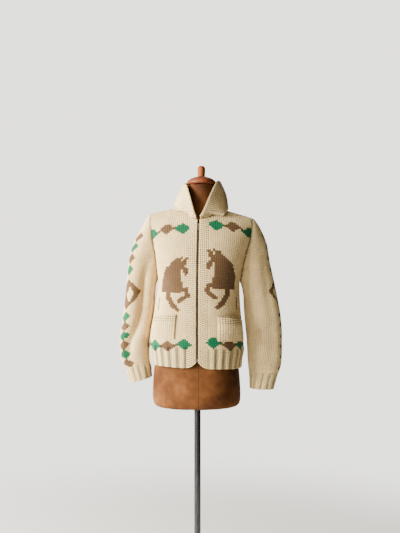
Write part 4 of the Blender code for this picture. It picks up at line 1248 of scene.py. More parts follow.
# %% Sleeve tables
SleeveRow = namedtuple(
    "SleeveRow", "step inner_x inner_z outer_x outer_z front back mid_y valley valley_angle")
SLEEVE_LEFT = (
    SleeveRow(0, -0.1450, 1.128, -0.1723, 1.3750, 0.068, 0.062, 0.000, 0.000, 105),
    SleeveRow(1, -0.1540, 1.112, -0.1990, 1.3440, 0.068, 0.066, 0.002, 0.006, 105),
    SleeveRow(2, -0.1580, 1.098, -0.2180, 1.3050, 0.066, 0.068, 0.004, 0.012, 105),
    SleeveRow(3, -0.1570, 1.080, -0.2390, 1.2610, 0.064, 0.068, 0.006, 0.017, 104),
    SleeveRow(4, -0.1578, 1.055, -0.2520, 1.2150, 0.062, 0.068, 0.007, 0.020, 104),
    SleeveRow(5, -0.1612, 1.020, -0.2590, 1.1600, 0.061, 0.067, 0.008, 0.021, 105),
    SleeveRow(6, -0.1664, 0.985, -0.2640, 1.0950, 0.060, 0.066, 0.009, 0.021, 106),
    SleeveRow(7, -0.1728, 0.950, -0.2710, 1.0300, 0.059, 0.064, 0.009, 0.021, 102),
    SleeveRow(8, -0.1775, 0.915, -0.2795, 0.9700, 0.057, 0.061, 0.009, 0.020, 90),
    SleeveRow(9, -0.1800, 0.885, -0.2875, 0.9150, 0.054, 0.057, 0.008, 0.017, 76),
    SleeveRow(10, -0.1795, 0.858, -0.2865, 0.8700, 0.050, 0.052, 0.006, 0.012, 68),
    SleeveRow(11, -0.1770, 0.830, -0.2800, 0.8300, 0.044, 0.045, 0.003, 0.006, 64),
    SleeveRow(12, -0.1730, 0.812, -0.2620, 0.8030, 0.037, 0.037, 0.001, 0.000, 64),
    SleeveRow(13, -0.1700, 0.774, -0.2470, 0.7520, 0.035, 0.034, 0.000, 0.000, 64),
)
SLEEVE_RIGHT = (
    SleeveRow(0, 0.1590, 1.128, 0.2017, 1.3590, 0.068, 0.062, 0.000, 0.000, 60),
    SleeveRow(1, 0.1680, 1.106, 0.2225, 1.3420, 0.068, 0.066, 0.002, 0.000, 60),
    SleeveRow(2, 0.1700, 1.088, 0.2430, 1.3080, 0.066, 0.068, 0.004, 0.002, 60),
    SleeveRow(3, 0.1710, 1.066, 0.2570, 1.2620, 0.064, 0.068, 0.006, 0.004, 60),
    SleeveRow(4, 0.1720, 1.036, 0.2680, 1.1950, 0.062, 0.067, 0.007, 0.005, 60),
    SleeveRow(5, 0.1735, 1.005, 0.2830, 1.1280, 0.060, 0.065, 0.008, 0.006, 62),
    SleeveRow(6, 0.1765, 0.972, 0.2970, 1.0600, 0.058, 0.063, 0.008, 0.006, 64),
    SleeveRow(7, 0.1800, 0.938, 0.3080, 0.9950, 0.057, 0.060, 0.007, 0.005, 66),
    SleeveRow(8, 0.1830, 0.903, 0.3125, 0.9330, 0.055, 0.058, 0.006, 0.004, 68),
    SleeveRow(9, 0.1845, 0.868, 0.3125, 0.8760, 0.052, 0.054, 0.005, 0.003, 70),
    SleeveRow(10, 0.1860, 0.832, 0.3100, 0.8260, 0.048, 0.049, 0.004, 0.002, 70),
    SleeveRow(11, 0.1890, 0.802, 0.3020, 0.7950, 0.042, 0.042, 0.002, 0.000, 70),
    SleeveRow(12, 0.1930, 0.780, 0.2930, 0.7750, 0.037, 0.036, 0.001, 0.000, 70),
    SleeveRow(13, 0.1955, 0.731, 0.2790, 0.7280, 0.035, 0.034, 0.000, 0.000, 70),
)
sleeve_rows = {LEFT: curves(SLEEVE_LEFT, "step"), RIGHT: curves(SLEEVE_RIGHT, "step")}
LAST_STEP = 13.0
CUFF_STEP = 12.0
CUFF_RIBS = 11
SLEEVE_BLEND_STEPS = 3.0
SLEEVE_SQUARENESS = 0.08
VALLEY_HALF_WIDTH = math.radians(19)
ARMHOLE_GAP = 0.0009
CUFF_RIB_BLEND = 0.5
BODY_FACE_FROM = 0.2
BODY_FACE_SPAN = 0.5
SLEEVE_TURNS = 181
SLEEVE_RINGS = 261
FIRST_FACE_STEP = 0.4
LAST_FACE_STEP = LAST_STEP - 0.02
print("sleeve steps:", len(SLEEVE_LEFT))

# %% The sleeve's surface
def sleeve_ring(side, turn, step):
    """Points of a sleeve, `turn` radians from its outer line round by the front."""
    read = {name: value(step) for name, value in sleeve_rows[side].items()}
    zero = np.zeros(np.broadcast(turn, step).shape)
    inner = np.stack([read["inner_x"] + zero, zero, read["inner_z"] + zero], axis=-1)
    outer = np.stack([read["outer_x"] + zero, zero, read["outer_z"] + zero], axis=-1)
    middle = (inner + outer) / 2
    across = np.cos(turn) * (1 + SLEEVE_SQUARENESS * np.sin(turn) ** 2)
    along = np.sin(turn) * (1 + SLEEVE_SQUARENESS * np.cos(turn) ** 2)
    depth = np.where(along > 0, read["front"], read["back"])
    point = middle + (outer - inner) / 2 * across[..., None]
    point[..., 1] = read["mid_y"] - depth * along
    off_valley = (turn - np.radians(read["valley_angle"])) / VALLEY_HALF_WIDTH
    sink = read["valley"] * np.exp(-off_valley * off_valley)
    centre = middle.copy()
    centre[..., 1] = read["mid_y"]
    return point + unit(centre - point) * sink[..., None]


def armhole_point(side, turn):
    """Points of the body's armhole edge, `turn` radians from the shoulder."""
    v = np.linspace(ARMPIT_V, TOP_V, 401)
    heights = body_point(side * body_sizes(v).side_angle, v)[..., 2]
    target = heights[0] + (heights[-1] - heights[0]) * (1 + np.cos(turn)) / 2
    level = np.interp(target, heights, v)
    side_angle = body_sizes(level).side_angle
    angle = side * np.where(turn <= math.pi, side_angle, math.pi - side_angle)
    point = body_point(angle, level)
    point[..., 0] += side * ARMHOLE_GAP
    return point, angle, level


def sleeve_point(side, u, step):
    """Points of a sleeve's outer face, which starts as the armhole and becomes its own rings."""
    turn = np.mod(u, 1.0) * 2 * math.pi
    ring = sleeve_ring(side, turn, step)
    start = armhole_point(side, turn)[0]
    start[..., 2] += ARMHOLE_GAP * np.maximum(0.0, -np.cos(turn)) ** 4
    share = np.clip(step / SLEEVE_BLEND_STEPS, 0, 1)[..., None]
    return start * (1 - share) + ring * share


def sleeve_place(side):
    """The sleeve's wall: u goes once round from the outer line, and steps count down from the armhole. At its
    top the wall faces as the shoulder does, so that the two meet without a ridge.
    """
    cuff_turns = np.linspace(0, 1, SLEEVE_TURNS)
    middle_of_cuff = np.full(SLEEVE_TURNS, (CUFF_STEP + LAST_STEP) / 2)
    cuff_arc = lengths(sleeve_ring(side, cuff_turns * 2 * math.pi, middle_of_cuff))
    cuff_shares = cuff_arc / cuff_arc[-1]

    def place(u, step, out):
        inside = np.clip(step, FIRST_FACE_STEP, LAST_FACE_STEP)
        face = faces_of(lambda a, b: sleeve_point(side, a, b), u, inside) * side
        turn = np.mod(u, 1.0) * 2 * math.pi
        upwards = smooth((np.cos(turn) - BODY_FACE_FROM) / BODY_FACE_SPAN)
        near_top = (upwards * (1 - smooth(step)))[..., None]
        _, angle, level = armhole_point(side, turn)
        body_face = faces_of(body_point, angle, np.minimum(level, LAST_FACE_V))
        face = unit(face * (1 - near_top) + body_face * near_top)
        fade = np.clip((step - CUFF_STEP + CUFF_RIB_BLEND) / CUFF_RIB_BLEND, 0, 1)
        position = np.interp(np.mod(u, 1.0), cuff_turns, cuff_shares) * CUFF_RIBS
        ribs = np.where(out > -WALL, rib_profile(position) * fade, 0.0)
        return sleeve_point(side, u, step) + face * (out + ribs)[..., None]

    return place


def sleeve_middle(side, heights):
    """The sleeve's middle line at given heights."""
    steps = np.linspace(0, LAST_STEP, 200)
    read = sleeve_rows[side]
    x = (read["inner_x"](steps) + read["outer_x"](steps)) / 2
    z = (read["inner_z"](steps) + read["outer_z"](steps)) / 2
    order = np.argsort(z)
    return np.stack([np.interp(heights, z[order], x[order]), np.zeros(heights.shape), heights], axis=-1)


def sleeve_grid(side):
    """A sleeve's grid, the columns it has, which of its corners are cloth, and the tape round each ring."""
    place = sleeve_place(side)
    steps = np.linspace(LAST_STEP, 0, SLEEVE_RINGS)
    turns = np.linspace(0, 1, SLEEVE_TURNS)
    u, step = np.meshgrid(turns, steps)
    arc = np.array([lengths(ring) for ring in place(u, step, np.zeros(u.shape))])
    front_half = arc[:, SLEEVE_TURNS // 2]
    back_half = arc[:, -1] - front_half
    reach_front = int(front_half.max() / STITCH_WIDTH) + 1
    reach_back = int(back_half.max() / STITCH_WIDTH) + 1
    columns = np.arange(-reach_back, reach_front + 1)
    lines = []
    for column in columns:
        offset = column * STITCH_WIDTH
        if column >= 0:
            along = np.minimum(offset, front_half)
        else:
            along = np.maximum(arc[:, -1] + offset, front_half)
        line_u = np.array([np.interp(along[k], arc[k], turns) for k in range(len(steps))])
        lines.append(place(line_u, steps, np.zeros(len(steps))))
    climbs = [lengths(line) for line in lines]
    at = np.arange(int(max(climb[-1] for climb in climbs) / STITCH_HEIGHT) + 2) * STITCH_HEIGHT
    points = np.stack([along_line(line, climb, at) for line, climb in zip(lines, climbs)], axis=1)
    inside = np.zeros(points.shape[:2], bool)
    for index, (column, climb) in enumerate(zip(columns, climbs)):
        beyond = np.abs(column) * STITCH_WIDTH - (front_half if column >= 0 else back_half)
        inside[:, index] = (at <= climb[-1] + NEARLY) & (np.interp(at, climb, beyond) <= 0)
    return outward(points, sleeve_middle(side, points[..., 2])), columns, inside, arc


print("ribs round a cuff:", CUFF_RIBS)

# %% [markdown]
# Down the outside of each sleeve run a hollow lozenge and small diamonds above and below it. They turn a
# little round the arm on their way down, so each row of the chart is shifted by its own part of a turn.

# %% The sleeves
SleeveChart = namedtuple(
    "SleeveChart",
    "side shoulder_turn cuff_turn lozenge_z half_width up_first up_pitch down_first down_pitch")
SLEEVE_CHARTS = {
    "sleeve_left": SleeveChart(LEFT, 38, 43, 1.0720, 12.6, 17.2, 8.1, 16.2, 6.7),
    "sleeve_right": SleeveChart(RIGHT, 13, 3, 1.0860, 8.4, 16.2, 8.0, 16.4, 7.5),
}
LOZENGE_HALF_HEIGHT = 10.9
HOLLOW_HALF_WIDTH = 3.4
HOLLOW_HALF_HEIGHT = 5.6
HOLLOW_SHIFT = 2.0
HOLLOW_DROP = 0.5
DIAMONDS_ABOVE = 4
DIAMONDS_BELOW = 6
SMALL_HALF_WIDTH = 3.7
UPPER_HALF_HEIGHT = 3.7
LOWER_HALF_HEIGHT = 3.3
ARM_RINGS = slice(30, 200)
CUFF_RING = 10
CUFF_SHADE_RISE = 0.012
CUFF_FURROW_SHADE = 0.5


def sleeve_figures(chart, colours, across, up):
    """Colour the lozenge and the diamonds, at places counted from the lozenge's middle."""
    lozenge = diamond(across, up, chart.half_width, LOZENGE_HALF_HEIGHT)
    hollow = diamond(across - HOLLOW_SHIFT, up + HOLLOW_DROP, HOLLOW_HALF_WIDTH, HOLLOW_HALF_HEIGHT)
    colours[lozenge & ~hollow] = BROWN
    for number in range(DIAMONDS_BELOW):
        colour = BROWN if number % 2 else GREEN
        above = up - chart.up_first - chart.up_pitch * number
        below = up + chart.down_first + chart.down_pitch * number
        if number < DIAMONDS_ABOVE:
            colours[diamond(across, above, SMALL_HALF_WIDTH, UPPER_HALF_HEIGHT, DIAMOND_FULLNESS)] = colour
        colours[diamond(across, below, SMALL_HALF_WIDTH, LOWER_HALF_HEIGHT, DIAMOND_FULLNESS)] = colour


def shade_cuff(colours, heights, columns, side, cuff_round):
    """Darken the furrows of the cuff's ribs."""
    furrow = np.cos(2 * math.pi * columns * STITCH_WIDTH / cuff_round * CUFF_RIBS)
    cuff_top = float(sleeve_rows[side]["outer_z"](CUFF_STEP))
    in_cuff = heights < cuff_top + CUFF_SHADE_RISE
    colours *= (1 - in_cuff * CUFF_FURROW_SHADE * np.clip(furrow, 0, 1) ** 2)[:, None]


def add_sleeve(name):
    """The stitches and the cloth of a sleeve."""
    chart = SLEEVE_CHARTS[name]
    side = chart.side
    grid, grid_columns, inside, arc = sleeve_grid(side)
    cells = whole_cells(inside)
    indices, first_rows = cells.T
    columns = grid_columns[indices] + 0.5
    rows = first_rows + 0.5
    colours = plain(cells)
    outer_z = grid.points[:, list(grid_columns).index(0), 2]
    middle_row = float(np.interp(chart.lozenge_z, outer_z, np.arange(len(outer_z))))
    turn_at = chart.cuff_turn + (chart.shoulder_turn - chart.cuff_turn) * rows / len(outer_z)
    turns = np.linspace(0, 1, SLEEVE_TURNS)
    shift = np.interp(turn_at / 360, turns, arc[ARM_RINGS].mean(axis=0)) / STITCH_WIDTH
    sleeve_figures(chart, colours, columns - shift, rows - middle_row)
    shade_cuff(colours, grid.points[first_rows, indices, 2], columns, side, arc[CUFF_RING, -1])
    levels = stations((0, CUFF_STEP, 110), (CUFF_STEP, LAST_STEP, 16))
    round_arm = np.linspace(0, 1, 89)
    cloth = wall_of_cloth(name + "_cloth", sleeve_place(side), round_arm, levels, cream_wool, round_it=True)
    stitches = lay_stitches(name + "_stitches", grid, cells, colours, cream_wool, rng)
    colour_and_shade_cloth(cloth, centres_of(grid, cells), colours)
    return cloth, stitches


for name in SLEEVE_CHARTS:
    sewn[name] = add_sleeve(name)
print("sleeves knitted")

# %% [markdown]
# The collar stands up from the neck, rolls over and falls. Its garter ridges run from the neck seam over the
# roll to the free edge, so they fan out round the neck, and they show on both sides of the cloth.

# %% Collar tables
CollarRow = namedtuple("CollarRow", "share roll_x roll_y roll_z edge_x edge_y edge_z bulge")
COLLAR_LEFT = (
    CollarRow(0.00, 0.000, 0.0690, 1.493, 0.000, 0.0930, 1.398, 0.007),
    CollarRow(0.18, 0.044, 0.0560, 1.492, 0.056, 0.0800, 1.395, 0.007),
    CollarRow(0.38, 0.0625, 0.0150, 1.488, 0.096, 0.0400, 1.392, 0.005),
    CollarRow(0.55, 0.0570, -0.0380, 1.477, 0.102, 0.0000, 1.392, 0.004),
    CollarRow(0.70, 0.0470, -0.0700, 1.443, 0.102, -0.0220, 1.388, 0.005),
    CollarRow(0.85, 0.0370, -0.0910, 1.400, 0.098, -0.0400, 1.382, 0.005),
    CollarRow(1.00, 0.0290, -0.0990, 1.365, 0.090, -0.0580, 1.372, 0.004),
)
COLLAR_RIGHT = (
    CollarRow(0.00, 0.000, 0.0690, 1.493, 0.000, 0.0930, 1.398, 0.007),
    CollarRow(0.18, 0.045, 0.0560, 1.496, 0.058, 0.0800, 1.396, 0.008),
    CollarRow(0.38, 0.0642, 0.0150, 1.497, 0.096, 0.0380, 1.392, 0.008),
    CollarRow(0.55, 0.0546, -0.0360, 1.484, 0.098, -0.0060, 1.388, 0.007),
    CollarRow(0.70, 0.0360, -0.0680, 1.444, 0.096, -0.0340, 1.380, 0.007),
    CollarRow(0.85, 0.0190, -0.0900, 1.401, 0.090, -0.0580, 1.370, 0.006),
    CollarRow(1.00, 0.0030, -0.0990, 1.362, 0.080, -0.0740, 1.362, 0.004),
)
collar_rows = {LEFT: curves(COLLAR_LEFT, "share"), RIGHT: curves(COLLAR_RIGHT, "share")}
COLLAR_THICKNESS = 0.0050
COLLAR_LIFT = 0.0023
COLLAR_REST = 0.0049
COLLAR_FOLD_RADIUS = 0.0056
COLLAR_SINK = 0.0012
ROLL_K = 0.35
FALL_K = 0.6
SHOULDER_SHARE = 0.5
STEEPEST = 0.35
EDGE_STEP = 0.002
EDGE_HALVINGS = 16
print("collar rows:", len(COLLAR_LEFT))

# %% The collar's surface
def neck_seam(side, share):
    """The middle of the body's neck edge, from the back (share 0) to the zip (share 1)."""
    back_here = np.clip(share / SHOULDER_SHARE, 0, 1)
    back_v = neck_curve(BACK_NECK_V, back_here)
    back_angle = math.pi - angle_at(side * NECK_HALF_WIDTH * back_here, back_v)
    here = np.clip((1 - share) / (1 - SHOULDER_SHARE), 0, 1)
    front_v = neck_curve(FRONT_NECK_V, here)
    half = NECK_HALF_WIDTH - side * NECK_SHIFT
    front_angle = angle_at(NECK_SHIFT + side * (half * here + BAND_GAP_HALF * (1 - here)), front_v)
    at_back = share <= SHOULDER_SHARE
    angle = np.where(at_back, back_angle, front_angle)
    return off_body(angle, np.where(at_back, back_v, front_v), np.full(share.shape, -WALL / 2))


def over_shoulder(point):
    """Points of the collar's middle, raised where the shoulder's cloth would reach them."""
    x = point[..., 0] - lean_rows["body_x"](point[..., 2])
    front = point[..., 1] < 0
    low = np.ones(x.shape)
    high = np.full(x.shape, TOP_V)
    for _ in range(EDGE_HALVINGS):
        v = (low + high) / 2
        angle = angle_at(x, v)
        y = body_point(np.where(front, angle, math.pi - angle), v)[..., 1]
        outside = np.abs(y) > np.abs(point[..., 1])
        low = np.where(outside, v, low)
        high = np.where(outside, high, v)
    angle = angle_at(x, low)
    angle = np.where(front, angle, math.pi - angle)
    face = faces_of(body_point, angle, np.minimum(low, LAST_FACE_V))
    clear = (COLLAR_THICKNESS / 2 + COLLAR_REST) / np.maximum(face[..., 2], STEEPEST)
    raised = point.copy()
    raised[..., 2] = np.maximum(point[..., 2], body_point(angle, low)[..., 2] + clear)
    return raised


def collar_middle(k, share):
    """The middle of the collar's cloth: k runs from the neck seam up, over the roll and down to the edge."""
    k, share = np.broadcast_arrays(np.asarray(k, float), np.asarray(share, float))
    result = np.zeros(k.shape + (3,))
    lean = float(lean_rows["body_x"](SHOULDER_TOP_Z))
    for side in (LEFT, RIGHT):
        here = np.clip(np.abs(share), 0, 1)
        read = {name: value(here) for name, value in collar_rows[side].items()}
        seam = neck_seam(side, here)
        roll = np.stack([side * read["roll_x"] + lean, read["roll_y"], read["roll_z"]], axis=-1)
        edge = np.stack([side * read["edge_x"] + lean, read["edge_y"], read["edge_z"]], axis=-1)
        up = unit(roll - seam)
        seam = seam + up * (WALL / 2 + SEAM_GAP + COLLAR_LIFT)
        out = edge - roll
        out = unit(out - up * np.sum(out * up, axis=-1, keepdims=True))
        middle = roll - up * COLLAR_FOLD_RADIUS
        stand = np.maximum(k / ROLL_K, 0)[..., None]
        standing = seam * (1 - stand) + (middle - out * COLLAR_FOLD_RADIUS) * stand
        turn = (math.pi * (1 - (k - ROLL_K) / (FALL_K - ROLL_K)))[..., None]
        rolling = middle + (out * np.cos(turn) + up * np.sin(turn)) * COLLAR_FOLD_RADIUS
        down = ((k - FALL_K) / (1 - FALL_K))[..., None]
        start = middle + out * COLLAR_FOLD_RADIUS
        fall = unit(edge - start)
        aside = unit(out - fall * np.sum(out * fall, axis=-1, keepdims=True))
        bulge = read["bulge"][..., None] * np.sin(math.pi * np.clip(down, 0, 1))
        falling = over_shoulder(start * (1 - down) + edge * down + aside * bulge)
        turned = np.where((k < FALL_K)[..., None], rolling, falling)
        point = np.where((k < ROLL_K)[..., None], standing, turned)
        mine = share < 0 if side == LEFT else share >= 0
        result[mine] = point[mine]
    return result


def collar_place(k, share, out):
    """The collar's wall, whose outer face is the one that shows once it is turned down."""
    inside_k = np.clip(k, EDGE_STEP, 1 - EDGE_STEP)
    inside_share = np.clip(share, EDGE_STEP - 1, 1 - EDGE_STEP)
    face = faces_of(collar_middle, inside_k, inside_share, step=EDGE_STEP / 2)
    return collar_middle(k, share) - face * (out + COLLAR_THICKNESS / 2)[..., None]


fold = collar_middle(np.array([(ROLL_K + FALL_K) / 2]), np.array([0.0]))[0]
print("at the back the collar rolls over", round(float(fold[2]), 3), "m above the floor")

# %% The collar
COLLAR_RIDGES = 76
COLLAR_STITCHES = 27
COLLAR_FRONT_SHARE = 0.6
COLLAR_TINT = 1.01
collar_k = stations((0, ROLL_K, 10), (ROLL_K, FALL_K, 13), (FALL_K, 1, 25))
cloth = wall_of_cloth(
    "collar_cloth", collar_place, collar_k, np.linspace(-1, 1, 153), collar_wool,
    thickness=COLLAR_THICKNESS - COLLAR_SINK, sink=COLLAR_SINK)
k_line = np.linspace(0, 1, 401)
length = lengths(collar_middle(k_line, np.full(k_line.shape, COLLAR_FRONT_SHARE)))
stitch_k = np.interp(np.linspace(0, length[-1], COLLAR_STITCHES + 1), length, k_line)
shares = np.linspace(-1, 1, COLLAR_RIDGES + 1)
k_grid, share_grid = np.meshgrid(stitch_k, shares)
face_side = collar_place(k_grid, share_grid, np.zeros(k_grid.shape))
back_side = collar_place(k_grid, share_grid, np.full(k_grid.shape, -COLLAR_THICKNESS))
ridges = []
for name, surface, other in (
        ("collar_ridges_outer", face_side, back_side), ("collar_ridges_inner", back_side, face_side)):
    grid = Grid(surface, unit(surface - other))
    cells = all_cells(grid)
    colours = plain(cells) * COLLAR_TINT
    ridges.append(lay_stitches(name, grid, cells, colours, collar_wool, rng, PURL))
colour_and_shade_cloth(cloth, centres_of(grid, cells), colours)
sewn["collar"] = (cloth, *ridges)
print("collar knitted")

# %% [markdown]
# The pockets are patches in plain knitting with a garter welt along the mouth, sewn down on three sides and
# slack at the top.

# %% The pockets
POCKET_GAP = 0.0008
PocketRow = namedtuple(
    "PocketRow", "name side inner_angle outer_angle bottom_z inner_top_z outer_top_z bulge")
POCKETS = (
    PocketRow("pocket_left", LEFT, 25, 68, 0.920, 1.006, 0.990, 0.012),
    PocketRow("pocket_right", RIGHT, 23, 72, 0.918, 1.004, 0.992, 0.013),
)
WELT_SHARE = 0.70
POCKET_STITCHES = 15
POCKET_ROWS = 12
WELT_RIDGES = 4
SLACK_TOP_SHARE = 0.8
SLACK_ROUNDNESS = 0.8
SLACK_ONSET = 1.3


def pocket_place(row):
    """A pocket's wall: u runs outwards and v from its bottom to its mouth, where it hangs slack."""
    def place(u, v, out):
        top_z = row.inner_top_z + (row.outer_top_z - row.inner_top_z) * u
        level = v_of(row.bottom_z + (top_z - row.bottom_z) * v)
        angle = row.side * np.radians(row.inner_angle + (row.outer_angle - row.inner_angle) * u)
        rise = np.clip(v / SLACK_TOP_SHARE, 0, 1)
        slack = row.bulge * np.sin(math.pi * np.clip(u, 0, 1)) ** SLACK_ROUNDNESS
        slack = slack * np.sin(math.pi / 2 * rise) ** SLACK_ONSET
        return off_body(angle, level, POCKET_GAP + WALL + slack + out)

    return place


for row in POCKETS:
    place_of = pocket_place(row)
    even = np.linspace(0, 1, 41)
    cloth = wall_of_cloth(row.name + "_cloth", place_of, even, even, pocket_wool)
    across = np.linspace(0, 1, POCKET_STITCHES + 1)
    grid = grid_of(place_of, across, np.linspace(0, WELT_SHARE, POCKET_ROWS + 1), BODY_MIDDLE)
    cells = all_cells(grid)
    colours = plain(cells)
    stitches = lay_stitches(row.name + "_stitches", grid, cells, colours, pocket_wool, rng)
    welt = grid_of(place_of, across, np.linspace(WELT_SHARE, 1, WELT_RIDGES + 1), BODY_MIDDLE)
    welt_cells = all_cells(welt)
    welt_colours = plain(welt_cells)
    ridges = lay_stitches(row.name + "_welt", welt, welt_cells, welt_colours, pocket_wool, rng, PURL)
    welt_shade = welt_colours * (GARTER_SHADE / KNIT_SHADE)
    middles = np.concatenate([centres_of(grid, cells), centres_of(welt, welt_cells)])
    colour_and_shade_cloth(cloth, middles, np.concatenate([colours, welt_shade]))
    sewn[row.name] = (cloth, stitches, ridges)
print("pockets knitted")

# %% [markdown]
# The zip has two woven tapes and two rows of metal teeth that mesh. A tooth is a small bevelled block, made
# once and copied down each tape, the two rows half a pitch apart. The slider, its pull and the box at the
# bottom are the frame's own, in a brighter metal where hands have rubbed them.

# %% The zip's sizes and materials
TAPE_INNER = 0.0038
TAPE_OUTER = 0.0150
TAPE_DEPTH = 0.0008
TAPE_THICKNESS = 0.0010
TAPE_BELOW_NECK = 0.06
CHAIN_START = 0.006
CHAIN_END = 0.0056
TOOTH_PITCH = 0.0029
TOOTH_ASIDE = 0.0013
TOOTH_SIZE = (0.0036, 0.0017, 0.0024)
TOOTH_BEVEL = 0.0004
TOOTH_SHARP = 30
ZIP_DEPTH = -WALL - TAPE_DEPTH - TAPE_THICKNESS / 2

tape_material, tree, shader, where = new_material("zip_tape", (0.62, 0.56, 0.45), 0.85, Sheen_Weight=0.2)
weave = node(tree, "ShaderNodeTexWave", wave_type="BANDS", bands_direction="Z", Scale=420.0, Distortion=0.4)
tree.links.new(where, weave.inputs["Vector"])
tint = ramp(tree, weave.outputs["Fac"], ((0.0, (0.70, 0.62, 0.48)), (1.0, (0.90, 0.83, 0.68))))
tree.links.new(tint, shader.inputs["Base Color"])
bump(tree, shader, weave.outputs["Fac"], 0.5, 0.0003)

metal, tree, shader, where = new_material("zip_metal", (0.20, 0.15, 0.09), 0.42, metallic=1.0)
wear = ramp(tree, noise(tree, where, 260, 3), ((0.35, (0.11, 0.085, 0.055)), (0.7, (0.34, 0.26, 0.16))))
tree.links.new(wear, shader.inputs["Base Color"])
bump(tree, shader, noise(tree, where, 1500, 2), 0.2, 0.0002)

bright_metal, tree, shader, where = new_material("slider_metal", (0.62, 0.56, 0.46), 0.34, metallic=1.0)
worn = ramp(tree, noise(tree, where, 420, 3), ((0.35, (0.34, 0.29, 0.22)), (0.65, (0.60, 0.54, 0.44))))
tree.links.new(worn, shader.inputs["Base Color"])
for name in ("zip_box", "zip_slider", "zip_pull"):
    give(name, bright_metal)
print("zip materials:", tape_material.name, metal.name, bright_metal.name)

# %% The zip's tapes
def tape_place(side):
    """A tape's wall: u runs from the teeth outwards and v from the box up to the neck."""
    def place(u, v, out):
        low = v_of(ZIP_BOX_Z + CHAIN_START)
        level = low + (FRONT_NECK_V - TAPE_BELOW_NECK - low) * v
        x = side * TAPE_INNER + (side * TAPE_OUTER - side * TAPE_INNER) * u
        return off_body(from_zip(x, level), level, -WALL - TAPE_DEPTH + out)

    return place


for side, name in ((LEFT, "zip_tape_left"), (RIGHT, "zip_tape_right")):
    cloth = wall_of_cloth(
        name + "_cloth", tape_place(side), np.linspace(0, 1, 5), np.linspace(0, 1, 97), tape_material,
        thickness=TAPE_THICKNESS, sink=0.0)
    paint(cloth, plain(cloth.data.vertices))
    sewn[name] = (cloth,)
print("each tape is", round(TAPE_OUTER - TAPE_INNER, 4), "m wide beside the teeth")

# %% One tooth
bpy.ops.object.select_all(action="DESELECT")
bpy.ops.mesh.primitive_cube_add(size=1.0, location=(0, 0, 0))
tooth = bpy.context.object
tooth.scale = TOOTH_SIZE
bpy.ops.object.transform_apply(location=False, rotation=False, scale=True)
bevel = tooth.modifiers.new("bevel", "BEVEL")
bevel.width = TOOTH_BEVEL
bevel.segments = 1
bpy.ops.object.modifier_apply(modifier="bevel")
bm = bmesh.new()
bm.from_mesh(tooth.data)
bmesh.ops.triangulate(bm, faces=bm.faces)
tooth_points = np.array([list(vertex.co) for vertex in bm.verts])
tooth_faces = np.array([[vertex.index for vertex in face.verts] for face in bm.faces])
bm.free()
bpy.data.objects.remove(tooth)
print("triangles in a tooth:", len(tooth_faces))

# %% The rows of teeth
def zip_line(v):
    """The zip's middle line and its directions across, up along it and out of the cloth."""
    angle = from_zip(0.0 * v, v)
    out = faces_of(body_point, angle, v)
    point = body_point(angle, v)
    up = unit(np.gradient(point, axis=0))
    across = unit(np.cross(up, out))
    return point, across * np.sign(across[..., :1]), up, out


chain_top = yoke_v(SLIDER_Z - CHAIN_END)
v = np.linspace(v_of(ZIP_BOX_Z + CHAIN_START), chain_top, 601)
line, *directions = zip_line(v)
length = lengths(line)
points = []
for side in (LEFT, RIGHT):
    at = np.arange(TOOTH_PITCH * (0.5 + 0.25 * side), length[-1], TOOTH_PITCH)
    across, up, out = [unit(along_line(direction, length, at)) for direction in directions]
    middle = along_line(line, length, at) + out * ZIP_DEPTH + across * side * TOOTH_ASIDE
    local = tooth_points[None, :, 0, None] * across[:, None] + tooth_points[None, :, 1, None] * up[:, None]
    local = local + tooth_points[None, :, 2, None] * out[:, None]
    points.append((middle[:, None] + local).reshape(-1, 3))
points = np.concatenate(points)
count = len(points) // len(tooth_points)
faces = (tooth_faces[None] + np.arange(count)[:, None, None] * len(tooth_points)).reshape(-1, 3)
teeth = mesh_piece("zip_teeth", points, faces, metal, shade_sharp=TOOTH_SHARP)
bm = bmesh.new()
bm.from_mesh(teeth.data)
bmesh.ops.recalc_face_normals(bm, faces=bm.faces)
bm.to_mesh(teeth.data)
bm.free()
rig.ride(teeth, "root")
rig.replaces(teeth, "zip_chain")
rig.slot(teeth, "zip_metal")
print("zip teeth:", count)

# %% [markdown]
# The dress form is a padded torso covered in brown canvas that has darkened and stained with age. Two waves
# make the canvas's weave, large noise its blotches and small noise its grime, and a dark line is its seam.

# %% Canvas
SEAM_X = 0.004
SEAM_WIDTH = 0.0009
canvas, tree, shader, where = new_material("form_canvas", (0.20, 0.08, 0.02), 0.85, Specular_IOR_Level=0.15)
BLOTCH_STOPS = (
    (0.30, (0.050, 0.015, 0.004)),
    (0.52, (0.120, 0.042, 0.010)),
    (0.76, (0.215, 0.085, 0.024)),
)
blotch = ramp(tree, noise(tree, where, 9, 5), BLOTCH_STOPS)
grime = ramp(tree, noise(tree, where, 48, 4), ((0.30, (0.72, 0.68, 0.66)), (0.66, (1.06, 1.05, 1.04))))
base = blended(tree, "MULTIPLY", 0.8, blotch, grime)
split = node(tree, "ShaderNodeSeparateXYZ")
tree.links.new(where, split.inputs["Vector"])
seam = node(tree, "ShaderNodeMath", operation="COMPARE")
seam.inputs[1].default_value = SEAM_X
seam.inputs[2].default_value = SEAM_WIDTH
tree.links.new(split.outputs["X"], seam.inputs[0])
base = blended(tree, "MIX", seam.outputs["Value"], base, (0.045, 0.018, 0.008))
warp = node(tree, "ShaderNodeTexWave", wave_type="BANDS", bands_direction="Z", Scale=560.0, Distortion=0.6)
weft = node(tree, "ShaderNodeTexWave", wave_type="BANDS", bands_direction="X", Scale=560.0, Distortion=0.6)
tree.links.new(where, warp.inputs["Vector"])
tree.links.new(where, weft.inputs["Vector"])
weave = node(tree, "ShaderNodeMath", operation="ADD")
tree.links.new(warp.outputs["Fac"], weave.inputs[0])
tree.links.new(weft.outputs["Fac"], weave.inputs[1])
tree.links.new(base, shader.inputs["Base Color"])
bump(tree, shader, weave.outputs["Value"], 0.35, 0.0003)
print("canvas:", canvas.name)

